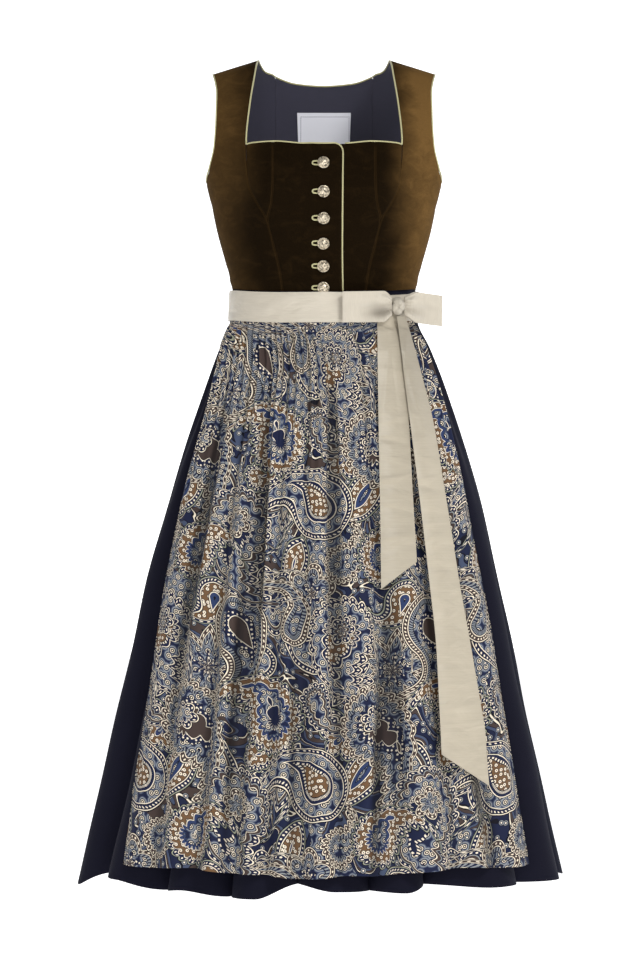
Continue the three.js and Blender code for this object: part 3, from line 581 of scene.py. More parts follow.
class Recipe:
    """A material being put together: each method adds a node and gives the signal that it ends in."""

    def __init__(self, name, group=False):
        if group:
            self.tree = bpy.data.node_groups.new(name, "ShaderNodeTree")
        else:
            self.material = bpy.data.materials.new(name)
            self.material.use_nodes = True
            self.tree = self.material.node_tree
            self.tree.nodes.clear()

    def add(self, kind, inputs=(), out=0, **settings):
        """Adds a node, with inputs and outputs by name or number, and gives one output or a list of them."""
        node = self.tree.nodes.new(kind)
        for key, value in settings.items():
            setattr(node, key, value)
        for key, value in dict(inputs).items():
            if isinstance(value, Signal):
                self.tree.links.new(value.socket, node.inputs[key])
            elif value is not None:
                node.inputs[key].default_value = value
        if isinstance(out, tuple):
            return [Signal(self, node.outputs[key]) for key in out]
        return Signal(self, node.outputs[out])

    def math(self, operation, *values, clamp=False):
        return self.add("ShaderNodeMath", enumerate(values), operation=operation, use_clamp=clamp)

    def wave(self, value, pitch):
        return self.math("SINE", value * (2 * math.pi / pitch))

    def vector(self, operation, *values):
        return self.add("ShaderNodeVectorMath", enumerate(values), "Vector", operation=operation)

    def length(self, vector):
        return self.add("ShaderNodeVectorMath", {0: vector}, "Value", operation="LENGTH")

    def split(self, vector):
        return self.add("ShaderNodeSeparateXYZ", {0: vector}, (0, 1, 2))

    def join(self, x, y=None):
        return self.add("ShaderNodeCombineXYZ", {0: x, 1: y})

    def blend(self, factor, *tones):
        inputs = [tone if isinstance(tone, Signal) else (*tone[:3], 1.0) for tone in tones]
        return self.add("ShaderNodeMix", {0: factor, 6: inputs[0], 7: inputs[1]}, 2, data_type="RGBA")

    def choose(self, test, otherwise, chosen):
        """`chosen` where the test is 1, and `otherwise` where it is 0."""
        return self.add("ShaderNodeMix", {0: test, 2: otherwise, 3: chosen}, 0, data_type="FLOAT")

    def choose_vector(self, test, otherwise, chosen):
        return self.add("ShaderNodeMix", {0: test, 4: otherwise, 5: chosen}, 1, data_type="VECTOR")

    def ramp(self, factor, stops, step=False):
        """A colour by stops of a place and a colour, and the filling that each stop may name."""
        tone, filling = self.add("ShaderNodeValToRGB", {0: factor}, (0, 1))
        band = tone.socket.node.color_ramp
        band.interpolation = "CONSTANT" if step else "LINEAR"
        while len(band.elements) > 1:
            band.elements.remove(band.elements[0])
        band.elements[0].position = stops[0][0]
        for place, *_ in stops[1:]:
            band.elements.new(place)
        for element, (_, colour_there, *filled) in zip(band.elements, stops):
            element.color = (*colour_there[:3], filled[0] if filled else 1)
        return tone, filling

    def noise(self, vector, scale, detail=3.0, roughness=0.5, distortion=0.0, out=0):
        inputs = {"Vector": vector, "Scale": scale, "Detail": detail, "Roughness": roughness}
        return self.add("ShaderNodeTexNoise", {**inputs, "Distortion": distortion}, out)

    def stretch(self, value, low, high, to_low=0.0, to_high=1.0):
        inputs = {"Value": value, "From Min": low, "From Max": high, "To Min": to_low, "To Max": to_high}
        return self.add("ShaderNodeMapRange", inputs)

    def smooth(self, value, low, high):
        inputs = {"Value": value, "From Min": low, "From Max": high}
        return self.add("ShaderNodeMapRange", inputs, interpolation_type="SMOOTHSTEP")

    def bump(self, height, strength, distance, normal=None):
        inputs = {"Height": height, "Strength": strength, "Distance": distance, "Normal": normal}
        return self.add("ShaderNodeBump", inputs)

    def finish(self, **inputs):
        named = {key.replace("_", " "): value for key, value in inputs.items()}
        shader = self.add("ShaderNodeBsdfPrincipled", named)
        self.add("ShaderNodeOutputMaterial", {"Surface": shader}, ())
        return self.material

    def cloth(self):
        return self.add("ShaderNodeUVMap", uv_map="Cloth")

    # Reads the painted light mask that a wall keeps on its points: painted shade or painted highlight, from 0
    # to 1.
    def fold(self):
        return self.add("ShaderNodeAttribute", out="Fac", attribute_name="PaintedLight")

    def object_place(self):
        return self.add("ShaderNodeTexCoord", out="Object")


def once(make):
    """Keeps the first material that a recipe makes, for every later piece."""
    kept = {}

    def read(*key):
        if key not in kept:
            kept[key] = make(*key)
        return kept[key]

    return read


def weave(recipe, cloth, warp_mm, weft_mm):
    """The height of a plain weave, from 0 to 1, with so many millimetres from thread to thread."""
    across, along, _ = recipe.split(cloth)
    return recipe.wave(across, warp_mm * MM) * recipe.wave(along, weft_mm * MM) * 0.5 + 0.5


@once
def velvet():
    """Cotton velvet, dark in the middle, with a painted sheen that lightens it towards the sides, the
    wearer's left and the shoulders, and a painted highlight along its seams.
    """
    recipe = Recipe("velvet")
    place = recipe.object_place()
    brushed = recipe.noise(place, 9, 3, 0.55, 0.6)
    pile = recipe.noise(place, 900, 2, 0.6)
    base = tuple(colours().velvet)
    x, _, z = recipe.split(place)
    # Painted sheen: the velvet is painted lighter towards its sides, on the wearer's left and towards the
    # shoulders, with random streaks.
    painted_sheen = recipe.smooth((brushed - 0.5) * 0.06 + abs(x), 0.076, 0.142)
    painted_sheen = painted_sheen * recipe.stretch(x, -0.03, 0.03, 0.38, 0.85) * recipe.stretch(z, -0.15, -0.07, 1, 1.5)
    streaks = recipe.noise(recipe.vector("MULTIPLY", place, (34, 34, 60)), 1, 4, 0.65, 1.2)
    painted_sheen = recipe.stretch(streaks, 0.5, 0.8) * 0.06 + painted_sheen
    painted_sheen = recipe.math("MULTIPLY", painted_sheen, recipe.stretch(streaks, 0.25, 0.75, 0.7, 1.2), clamp=True)
    tone = recipe.blend(painted_sheen, dim(base, 0.035), base)
    tone = recipe.blend(recipe.stretch(pile, 0.3, 0.7, 0.0, 0.3), tone, dim(base, 0.12))
    # Painted highlight along the seams, where the painted light mask is set.
    tone = recipe.blend(recipe.fold() * 0.1, tone, base)
    return recipe.finish(
        Base_Color=tone,
        Roughness=0.9,
        Specular_IOR_Level=0.03,
        Sheen_Weight=0.04,
        Sheen_Roughness=0.35,
        Sheen_Tint=(*colours().velvet_sheen, 1),
        Normal=recipe.bump(pile, 0.25, 0.0004),
    )


@once
def lining():
    """Navy lining: a plain weave with slubs."""
    recipe = Recipe("lining")
    cloth = recipe.cloth()
    threads = weave(recipe, cloth, 0.45, 0.45)
    slub = recipe.noise(recipe.vector("MULTIPLY", cloth, (60, 900, 1)), 1, 2)
    base = tuple(colours().lining)
    tone = recipe.blend(threads, dim(base, 0.82), dim(base, 1.12))
    tone = recipe.blend(recipe.stretch(slub, 0.35, 0.65, 0, 0.3), tone, dim(base, 0.7))
    return recipe.finish(
        Base_Color=tone, Roughness=0.7, Sheen_Weight=0.15, Normal=recipe.bump(threads, 0.3, 0.0002)
    )


@once
def skirt_cloth():
    """Matt navy cloth with a fine twill."""
    recipe = Recipe("skirt_cloth")
    x, y, _ = recipe.split(recipe.cloth())
    twill = recipe.wave(x + y, 0.0011)
    soft = recipe.noise(recipe.object_place(), 14, 3)
    base = tuple(colours().skirt)
    tone = recipe.blend(recipe.stretch(twill, -1, 1), dim(base, 0.8), dim(base, 1.2))
    tone = recipe.blend(recipe.stretch(soft, 0.35, 0.7, 0, 0.35), tone, dim(base, 0.72))
    return recipe.finish(
        Base_Color=tone,
        Roughness=0.85,
        Specular_IOR_Level=0.12,
        Sheen_Weight=0.04,
        Sheen_Tint=(*shade(120, 125, 160), 1),
        Normal=recipe.bump(twill, 0.2, 0.0002),
    )


@once
def satin(part, share):
    """Cream silk satin: fine cross ribs, a soft gloss and faint creases. A share below 1 darkens it as
    painted shade, as on the tails; the long tail has more painted shade towards its top, and the bow loops
    have painted shade in their dent and creases.
    """
    recipe = Recipe(f"satin_{part}")
    cloth = recipe.cloth()
    height = recipe.split(recipe.object_place())[2]
    if part.startswith("tail"):
        cloth = recipe.join(height * 0.1 + recipe.split(cloth)[0], height)
    ribs = recipe.wave(recipe.split(cloth)[1], 0.0009)
    slub = recipe.noise(recipe.vector("MULTIPLY", cloth, (25, 700, 1)), 1, 3, 0.6)
    crumple = recipe.noise(recipe.vector("MULTIPLY", cloth, (18, 46, 1)), 1, 3, 0.5, 0.6)
    # A share below 1, as the tails have, darkens the band's satin as painted shade.
    base = tuple(c * s for c, s in zip(colours().satin, share))
    # Painted shade: the long tail is painted darker towards its top, under the bow.
    if part == "tail_long":
        base = recipe.blend(recipe.smooth(height, -0.58, -0.34), base, dim(base, 0.7))
    tone = recipe.blend(recipe.stretch(slub, 0.3, 0.7, 0.09, 0), base, (0, 0, 0))
    # Painted shade where the painted light mask marks a bow loop's dent and creases.
    tone = recipe.blend(recipe.fold() * 0.66, tone, shade(66, 56, 38))
    tone = recipe.blend(recipe.stretch(crumple, 0.3, 0.7, 0, 0.1), tone, (0, 0, 0))
    return recipe.finish(
        Base_Color=tone,
        Roughness=recipe.stretch(slub, 0.2, 0.8, 0.4, 0.52),
        Specular_IOR_Level=0.45,
        Sheen_Weight=0.15,
        Normal=recipe.bump(crumple, 0.6, 0.006, recipe.bump(ribs, 0.04, 0.0002)),
    )


@once
def piping_cloth():
    """Satin cut on the bias over a cord, so that its threads wind round it."""
    recipe = Recipe("piping_cloth")
    run, around, _ = recipe.split(recipe.cloth())
    threads = recipe.wave(run * (1 / 0.0022) + around, 1)
    base = tuple(colours().piping)
    tone = recipe.blend(recipe.stretch(threads, -1, 1), dim(base, 0.72), base)
    return recipe.finish(
        Base_Color=tone, Roughness=0.5, Sheen_Weight=0.2, Normal=recipe.bump(threads, 0.4, 0.0003)
    )


@once
def silver(part, share):
    """Aged silver, unevenly tarnished, with fine open scrolls whose gaps are dark."""
    recipe = Recipe(f"silver_{part}")
    place = recipe.object_place()
    worn = recipe.noise(place, 320, 3)
    scrolls = recipe.math("FRACT", recipe.noise(place, 190, 1, 0.4, 0.8) * 6.0)
    base = dim(colours().silver, share)
    tone = recipe.blend(recipe.stretch(worn, 0.4, 0.75, 0, 0.4), base, dim(base, 0.6))
    tone = recipe.blend(recipe.smooth(scrolls, 0.5, 0.7), tone, dim(base, 0.16))
    return recipe.finish(
        Base_Color=tone,
        Metallic=0.6,
        Roughness=recipe.stretch(worn, 0.3, 0.7, 0.28, 0.45),
        Normal=recipe.bump(worn, 0.15, 0.0003),
    )


STITCHES = {"inset": 0.0038, "half_width": 0.0005, "pitch": 0.003}


@once
def label_cloth(half_width, half_height):
    """A plain woven label with a stitched border."""
    recipe = Recipe("label_cloth")
    cloth = recipe.cloth()
    x, y, _ = recipe.split(cloth)
    inset = recipe.math("MAXIMUM", abs(x) - half_width, abs(y - half_height) - half_height)
    border = recipe.math("COMPARE", inset, -STITCHES["inset"], STITCHES["half_width"])
    border = border * (recipe.wave(x + y, STITCHES["pitch"]) > -0.2)
    threads = weave(recipe, cloth, 0.5, 0.4)
    base = tuple(colours().label)
    tone = recipe.blend(threads, dim(base, 0.86), base)
    tone = recipe.blend(border, tone, shade(126, 124, 140))
    return recipe.finish(
        Base_Color=tone, Roughness=0.55, Normal=recipe.bump(threads - border * 0.8, 0.3, 0.0003)
    )


# The apron's print: paisleys, stars, rosettes and leaves, each drawn by its distance from its own edge


INK = shade(13, 13, 24)
NAVY = shade(24, 31, 58)
BLUE = shade(44, 58, 94)
SLATE = shade(66, 76, 100)
MIST = shade(136, 140, 142)
CREAM = shade(232, 220, 198)
TAUPE = shade(66, 54, 50)
OCHRE = shade(108, 80, 54)
SAGE = shade(150, 152, 132)

# What fills a ring: plain colour, small flowers on grey blue, spots on ochre, dots or bars.
PLAIN, FLOWERED, SPOTTED, DOTTED, BARRED = 1.0, 0.75, 0.5, 0.25, 0.0
DEEPEST = 40

# Rings from a motif's edge inwards, in millimetres, in four colourings. A ring with no filling is plain.
COLOURINGS = [
    [(0, INK), (1.1, CREAM), (2.5, INK), (3.3, NAVY), (8, INK), (8.8, CREAM), (10, SLATE, FLOWERED),
     (23, INK), (24, CREAM), (25.2, NAVY), (29, CREAM, BARRED), (32, INK), (33, OCHRE, SPOTTED)],
    [(0, INK), (1.1, CREAM), (2.3, TAUPE), (8, CREAM), (9.2, INK), (10, MIST, BARRED), (15, INK),
     (16, MIST, FLOWERED), (25, INK), (26, NAVY, DOTTED), (33, CREAM), (34.2, INK), (35, TAUPE)],
    [(0, INK), (1.1, SAGE), (2.4, NAVY), (8, CREAM), (9.2, INK), (10, OCHRE, SPOTTED), (19, INK),
     (20, CREAM), (21.2, BLUE), (26, INK), (27, SLATE, FLOWERED), (36, CREAM), (37.2, NAVY)],
    [(0, INK), (1.0, CREAM), (2.3, NAVY), (7.4, INK), (8.2, MIST), (9.4, TAUPE), (13, CREAM), (14.2, INK),
     (15.2, MIST, FLOWERED), (28, INK), (29, CREAM, BARRED), (33, NAVY)],
]
FLOWER_RINGS = [
    (0, CREAM), (0.08, INK), (0.19, CREAM), (0.26, INK), (0.33, SLATE), (0.39, MIST), (0.5, SLATE),
    (0.6, NAVY),
]
SEED_RINGS = [(0, NAVY), (0.1, CREAM), (0.3, TAUPE), (0.42, OCHRE)]
BUD_RINGS = [(0, CREAM), (0.07, NAVY), (0.13, MIST), (0.19, INK)]
SCROLL_LINES = [
    (0, CREAM), (0.055, INK), (0.12, NAVY), (0.5, INK), (0.54, SLATE), (0.74, INK), (0.78, TAUPE),
    (0.95, INK),
]
BEADS = {"apart": 5.6, "depth": 5.2, "radius": 1.3}
BAR_PITCH = 4.4
LOBE_RUN = 0.14
WANDER = 6

REPEAT = (300, 370)
GROWN = 1.5

# One repeat's motifs, the lowest first: where each lies, how it is turned, how large it is and its colouring.
MOTIFS = table(
    "kind x y turned size hand colouring lobes",
    ("leaf", 92, 250, 40, 74, 1, 2, 0), ("leaf", 166, 236, -34, 66, 1, 3, 0),
    ("leaf", 206, 142, 100, 62, 1, 1, 0), ("leaf", 16, 92, -70, 66, 1, 0, 0),
    ("leaf", 286, 344, 20, 58, 1, 2, 0),
    ("rosette", 246, 22, 12, 62, 1, 3, 0), ("rosette", 12, 12, 40, 54, 1, 1, 0),
    ("rosette", 62, 196, 8, 48, 1, 2, 0), ("star", 140, 112, 14, 80, 1, 1, 0),
    ("star", 274, 250, 0, 72, 1, 3, 0), ("star", 70, 128, 22, 54, 1, 0, 0),
    ("scroll", 20, 152, -24, 62, 1, 3, 0.04), ("scroll", 232, 104, 76, 60, -1, 0, 0),
    ("paisley", 60, 342, 250, 46, 1, 1, 0.05), ("paisley", 152, 22, 14, 44, -1, 2, 0),
    ("scroll", 286, 60, 200, 58, 1, 1, 0), ("scroll", 226, 226, -110, 58, -1, 2, 0.04),
    ("paisley", 58, 66, 24, 84, 1, 0, 0.045), ("paisley", 196, 58, -38, 74, -1, 1, 0),
    ("paisley", 256, 178, 158, 80, 1, 2, 0.05), ("paisley", 112, 186, -62, 88, -1, 1, 0.045),
    ("paisley", 26, 264, 142, 76, 1, 0, 0), ("paisley", 192, 296, 28, 92, 1, 3, 0.04),
    ("paisley", 118, 334, 206, 64, -1, 2, 0.05), ("rosette", 60, 60, 0, 26, 1, 3, 0),
    ("rosette", 194, 290, 20, 30, 1, 1, 0), ("rosette", 108, 180, 10, 26, 1, 0, 0),
)


def draw_drop(bulb, tip, reach, curl, curl_from):
    """A drop between a round bulb and a fine tip, in a space that turns more the further it reaches."""

    def draw(recipe, place):
        angle = recipe.math("MAXIMUM", recipe.length(place) - curl_from, 0.0) * curl
        inputs = {"Vector": place, "Angle": angle}
        turned = recipe.add("ShaderNodeVectorRotate", inputs, rotation_type="Z_AXIS")
        x, y, _ = recipe.split(turned)
        x = abs(x)
        taper = (bulb - tip) / reach
        flank = math.sqrt(1 - taper**2)
        along, side, short = y * flank - x * taper, y * taper + x * flank, y - reach
        in_bulb, in_tip = along < 0.0, along > flank * reach
        from_bulb, from_tip = (recipe.math("SQRT", x * x + height * height) for height in (y, short))
        depth = recipe.choose(in_bulb, bulb - side, bulb - from_bulb)
        depth = recipe.choose(in_tip, depth, tip - from_tip)
        run = recipe.choose(in_bulb, along, (recipe.math("ARCTAN2", y, x) - math.asin(taper)) * bulb)
        return depth, run

    return draw


def draw_star(recipe, place):
    """Nine pointed petals round a middle."""
    x, y, _ = recipe.split(place)
    turn = recipe.math("ARCTAN2", y, x)
    rim = recipe.math("PINGPONG", turn * (9 / (2 * math.pi)), 0.5) * 0.36 + 0.3
    return (rim - recipe.length(place)) * 0.75, turn * 0.4


def draw_rosette(recipe, place):
    """Six round petals."""
    x, y, _ = recipe.split(place)
    turn = recipe.math("ARCTAN2", y, x)
    rim = abs(recipe.math("COSINE", turn * 3.0)) * 0.16 + 0.36
    return rim - recipe.length(place), turn * 0.4


def draw_leaf(recipe, place):
    """A pointed leaf: what two circles share."""
    x, y, _ = recipe.split(place)
    return 0.6 - recipe.length(recipe.join(abs(x) + 0.34, y)), y


DRAWINGS = {
    "paisley": draw_drop(bulb=0.42, tip=0.03, reach=1.0, curl=1.9, curl_from=0.3),
    "scroll": draw_drop(bulb=0.27, tip=0.05, reach=1.5, curl=2.0, curl_from=0.35),
    "star": draw_star,
    "rosette": draw_rosette,
    "leaf": draw_leaf,
}


def motif_group(name, draw):
    """A node group that takes a place on a motif and its lobes' size, and gives its depth and run there."""
    recipe = Recipe(name, group=True)
    for label, way, kind in (
        ("Place", "INPUT", "Vector"), ("Lobes", "INPUT", "Float"), ("Depth", "OUTPUT", "Float"),
        ("Drawn", "OUTPUT", "Vector"),
    ):
        recipe.tree.interface.new_socket(label, in_out=way, socket_type=f"NodeSocket{kind}")
    place, lobes = recipe.add("NodeGroupInput", out=("Place", "Lobes"))
    depth, run = draw(recipe, place)
    depth = (abs(recipe.math("SINE", run * (math.pi / LOBE_RUN))) - 1.0) * lobes + depth
    recipe.add("NodeGroupOutput", {0: depth, 1: recipe.join(depth, run)}, ())
    return recipe.tree


def net(recipe, cloth, pitch, spread):
    """An uneven net of cells, `pitch` millimetres apart: the distance from each cell's middle, in pitches."""
    inputs = {"Vector": cloth, "Scale": 1 / (pitch * MM), "Randomness": spread}
    return recipe.add("ShaderNodeTexVoronoi", inputs, "Distance", voronoi_dimensions="2D")


def print_ground(recipe, cloth, flowered):
    """What shows between the motifs: thin scrolls and buds on navy, with patches of small flowers."""
    scroll = recipe.math("FRACT", recipe.noise(cloth, 15, 1, 0.4, 1.0) * 6.0)
    lines, _ = recipe.ramp(scroll, SCROLL_LINES, step=True)
    patch = recipe.noise(recipe.vector("ADD", cloth, (0.3, 0.7, 0)), 18, 1)
    tone = recipe.blend(patch > 0.54, lines, flowered)
    buds = net(recipe, cloth, 17, 0.9)
    return recipe.blend(buds < 0.23, tone, recipe.ramp(buds, BUD_RINGS, step=True)[0])


def top_motif(recipe, cloth):
    """The depth and run, in millimetres, and the colouring's number, of the motif that lies uppermost."""
    width, height = (side * MM for side in REPEAT)
    scaled = (width / sizes().repeat_width, height / sizes().repeat_height, 0)
    drawn = recipe.vector("MULTIPLY", cloth, scaled)
    wander = recipe.noise(cloth, 22, 1, out="Color")
    drawn = recipe.vector("MULTIPLY_ADD", wander, (WANDER * MM, WANDER * MM, 0), drawn)
    drawings = {kind: motif_group(kind, draw) for kind, draw in DRAWINGS.items()}
    top = recipe.join(-1.0)
    for motif in MOTIFS:
        x, y, size = motif["x"] * MM, motif["y"] * MM, motif["size"] * GROWN * MM
        near = recipe.vector(
            "WRAP", drawn, (x + width / 2, y + height / 2, 1), (x - width / 2, y - height / 2, -1)
        )
        placing = {"Vector": near, "Location": (x, y, 0), "Rotation": (0, 0, math.radians(motif["turned"]))}
        placing["Scale"] = (motif["hand"] * size, size, 1)
        place = recipe.add("ShaderNodeMapping", placing, vector_type="TEXTURE")
        inputs = {"Place": place, "Lobes": motif["lobes"]}
        depth, shape = recipe.add(
            "ShaderNodeGroup", inputs, ("Depth", "Drawn"), node_tree=drawings[motif["kind"]]
        )
        real = recipe.vector("MULTIPLY_ADD", shape, (size / MM, size / MM, 0), (0, 0, motif["colouring"]))
        top = recipe.choose_vector(depth > 0.0, top, real)
    return recipe.split(top)


@once
def printed_cotton():
    """A dense paisley print on fine cotton sateen, with painted shade in its fold valleys."""
    recipe = Recipe("printed_cotton")
    cloth = recipe.cloth()
    depth, run, number = top_motif(recipe, cloth)
    flowered, _ = recipe.ramp(net(recipe, cloth, 12, 0.7), FLOWER_RINGS, step=True)
    spotted, _ = recipe.ramp(net(recipe, cloth, 7, 0.6), SEED_RINGS, step=True)
    dots = net(recipe, cloth, 6, 0.3) < 0.23
    bars = recipe.math("FRACT", run / BAR_PITCH) < 0.5
    tone = None
    for index, rings in enumerate(COLOURINGS):
        stops = [(at / DEEPEST, *ring) for at, *ring in rings]
        shown, filling = recipe.ramp(depth / DEEPEST, stops, step=True)
        for kind, share, drawn in (
            (FLOWERED, 1.0, flowered), (SPOTTED, 1.0, spotted), (DOTTED, dots, CREAM), (BARRED, bars, NAVY)
        ):
            shown = recipe.blend(recipe.math("COMPARE", filling, kind, 0.1) * share, shown, drawn)
        chosen = recipe.math("COMPARE", number, index, 0.4)
        tone = recipe.blend(chosen, tone, shown) if tone else shown
    apart = (recipe.math("FRACT", run / BEADS["apart"]) - 0.5) * BEADS["apart"]
    beaded = recipe.length(recipe.join(apart, depth - BEADS["depth"])) < BEADS["radius"]
    tone = recipe.blend(beaded, tone, CREAM)
    tone = recipe.blend(depth > 0.0, print_ground(recipe, cloth, flowered), tone)
    worn = recipe.noise(recipe.object_place(), 60, 3)
    tone = recipe.blend(recipe.stretch(worn, 0.35, 0.75, 0, 0.05), tone, TAUPE)
    # Painted shade in the apron's fold valleys, by its painted light mask.
    tone = recipe.blend(recipe.fold() * 0.7, tone, dim(INK, 0.25))
    threads = recipe.bump(weave(recipe, cloth, 0.5, 0.5), 0.15, 0.0002)
    return recipe.finish(Base_Color=tone, Roughness=0.7, Specular_IOR_Level=0.15, Normal=threads)


# The skirt and the apron


SKIRT_LENGTH = 790
BAND_HEIGHT = 40
APRON_LENGTH = 720
SKIRT_ROWS = table(
    "at side front back depth gathers",
    (0, 121.8, 90.8, 86, 1, 1), (42, 124.5, 93, 90, 1.4, 1), (78, 140, 105, 108, 6, 0.85),
    (149, 165, 124, 138, 11, 0.5), (250, 197, 150, 170, 18, 0.15), (400, 239, 181, 202, 27, 0),
    (580, 280, 214, 232, 36, 0), (SKIRT_LENGTH, 326, 252, 264, 46, 0),
)
SKIRT = curves(SKIRT_ROWS)
SKIRT_FOLDS = [
    (-90, 1), (-66, 1), (-44, 0.9), (-25, 1), (-7, 0.75), (12, 0.9), (27, 1), (60, 0.9), (90, 1),
    (111, 0.85), (133, 1), (155, 0.9), (180, 1), (203, 0.85), (227, 1), (248, 0.9), (270, 1),
]
# How far the hem hangs below the skirt's length, in each fold's valley and on the crest after it.
HEM_DROPS = np.array([
    -16, 1, -18, -13, 0, -4, 5, 4, -13, -5, -4, -3, -11, -6, -6, -6, -12, -4, -8, 3, -14, -3, -7, 4,
    -12, -2, -9, 5, -13, -4, -8, 2, -16,
], float)
SKIRT_TOP = 0.4
SKIRT_PANELS = table(
    "name from to",
    ("skirt_front_right", 0, 4), ("skirt_front_left", 4, 8), ("skirt_back_left", 8, 12),
    ("skirt_back_right", 12, 16),
)
SEAM_FLAT = 0.05
APRON_TOP = BAND_HEIGHT - 3
APRON_ROWS = table(
    "at left right depth gathers",
    (0, -85, 72, 0.8, 1), (5, -83, 71, 0.8, 1), (16, -79, 70, 4.5, 1), (60, -69, 67, 8, 0.75),
    (130, -65, 64, 11, 0.4), (240, -62, 61, 14, 0.1), (400, -59.5, 60, 17, 0), (APRON_LENGTH, -55, 56, 22, 0),
)
APRON = curves(APRON_ROWS)
APRON_FOLDS = [
    (0, 0.35), (0.11, 0.7), (0.22, 0.9), (0.31, 0.6), (0.375, 0.8), (0.45, 0.7), (0.53, 1), (0.65, 0.85),
    (0.78, 0.7), (0.89, 0.4), (1, 0),
]
APRON_CREASES = table(
    CREASE,
    (-160, -640, 80, 200, 11, -4.0, 1.5), (-118, -830, 86, 240, 10, -4.5, -1.5),
    (-78, -620, 88, 210, 9, -4.0, 1.5), (-42, -900, 89, 180, 10, -3.5, -1.2),
    (18, -640, 91, 260, 9, -5.0, 1.8), (66, -930, 87, 200, 11, -4.5, -1.5),
    (100, -860, 93, 150, 9, -3.5, 1.5), (186, -900, 99, 200, 11, -4.0, -1.5),
)
APRON_OVER_SKIRT = 1.8
APRON_SUNK = 1.2
APRON_LIFTED = 3
APRON_HANGS = 8
SATIN_ROOM = 1.2
BAND_OUT = APRON_OVER_SKIRT + 0.8 + LAYER_GAP + SATIN_ROOM + 0.6
WAVES = ((7, 61, 0.6), (11, -43, 2.1), (3, 27, 0))
SWUNG_LEFT = 8.5
SWUNG_RIGHT = 5
HEM_SHIFT = 9


def swung(x, z):
    """How far the skirt and the apron swing out to the sides, more so under the long tail."""
    left = SWUNG_LEFT * smoothstep(x, 70, 160) * bell(z + 520, 150)
    return left - SWUNG_RIGHT * smoothstep(-x, 90, 200) * bell(z + 590, 170)


def oval_point(angle, drop, out):
    """A point at a drop below the waist, a distance outside the skirt's crests."""
    reach = np.where(np.cos(angle) > 0, SKIRT["front"](drop), SKIRT["back"](drop))
    x = (SKIRT["side"](drop) + out) * np.sin(angle)
    y = -(reach + out) * np.cos(angle)
    return np.stack(np.broadcast_arrays(x, y, -BODICE_LENGTH - drop), axis=-1)


def gather(share, count):
    return 0.5 - 0.5 * np.cos(2 * math.pi * count * share)


def folded(turn, folds):
    """For a count of folds: where it lies, the fold's fullness, and the share of the fold's own width."""
    place, fullness = np.array(folds, float).T
    fold = np.clip(np.floor(turn), 0, len(folds) - 2).astype(int)
    share = turn - fold
    return mix(place[fold], place[fold + 1], share), fullness[fold], share


def skirt_point(turn, drop):
    angle, fullness, share = folded(turn, SKIRT_FOLDS)
    crest = np.abs(np.sin(math.pi * share)) ** 0.7
    form = mix(fullness * crest, gather(share, 2), SKIRT["gathers"](drop))
    return oval_point(np.radians(angle), drop, -SKIRT["depth"](drop) * (1 - form))


def skirt_grid(panel, columns_per_fold=22, rows=90):
    count = (panel["to"] - panel["from"]) * columns_per_fold + 1
    turn = np.linspace(panel["from"], panel["to"], count)[None, :]
    share = np.linspace(0, 1, rows)[:, None] ** 1.3
    grid = skirt_point(turn, SKIRT_TOP + (SKIRT_LENGTH - SKIRT_TOP) * share)
    low = np.floor(turn * 2).astype(int).clip(0, len(HEM_DROPS) - 2)
    grid[..., 2] -= mix(HEM_DROPS[low], HEM_DROPS[low + 1], smoothstep(turn * 2 - low, 0, 1)) * share**7
    shift = HEM_SHIFT * smoothstep(-grid[..., 0], 120, 320) * share**2
    grid[..., 0] += swung(grid[..., 0], grid[..., 2]) - shift
    return grid


def apron_grid(columns_per_fold=26, rows=120):
    """The apron's grid, and how far each point stands out of the valleys between its folds."""
    folds = len(APRON_FOLDS) - 1
    turn = np.linspace(0, folds, folds * columns_per_fold + 1)[None, :]
    share = np.linspace(0, 1, rows)[:, None] ** 1.4
    drop = APRON_LENGTH * share
    width, fullness, across = folded(turn, APRON_FOLDS)
    angle = np.radians(mix(APRON["left"](drop), APRON["right"](drop), width))
    swell = np.sin(math.pi * across) ** 2
    stand = APRON["depth"](drop) * mix(fullness * swell, gather(across, 3), APRON["gathers"](drop))
    grid = oval_point(angle, APRON_TOP + drop, APRON_OVER_SKIRT + stand)
    grid[..., 0] += swung(grid[..., 0], grid[..., 2])
    hang = APRON_HANGS * bell(grid[..., 0] + 5, 130) + 2.5 * np.sin(turn * 2.1 + 0.5) * np.sin(turn * 0.9)
    grid[..., 2] -= hang * share**5
    return grid, stand


def rumple(grid, depth):
    """Slow, uneven waves over a large piece, which die out towards the waist."""
    x, y, z = grid[..., 0], grid[..., 1], grid[..., 2]
    around = np.arctan2(x, -y)
    waves = sum(np.sin(turns * around + z / long + start) for turns, long, start in WAVES)
    return depth / 2 * waves * smoothstep(-z, 330, 480)


# The band, the bow and its tails


PALE = (1, 1, 1)
BAND_PIECES = table("name from to", ("waistband", -86, 73.7), ("tie_round_back", 73.7, 274))
BAND_EDGE = 1.5
BAND_COLUMNS = 200
BAND_CREASES = table(
    CREASE,
    (-96, -318, -12, 26, 3.5, 0.7), (-70, -330, 8, 30, 4, -0.6), (-22, -314, -5, 34, 3.5, 0.5),
    (-8, -328, 4, 28, 4, -0.5),
)
KNOT = {"turned": 46.5, "drop": 20.5, "across": 10, "out": 8.5, "high": 12, "groove": 0.09}
LOOPS = table(
    "name towards tip puff bend tilt filled dented",
    ("bow_loop_right", -1, (24, -105.5), 4.6, 3.5, -1.5, 0.2, 1),
    ("bow_loop_left", 1, (157, -50), 6, 1.5, -8, 0.35, 0.35),
)
LOOP = {
    "pinched": 12.5, "full": 20.3, "start": 0.035, "clear": -0.15, "fan": 2.1, "ripple": 0.6, "dent": 2.6,
    "swell": 2.2, "apart": 0.4,
}


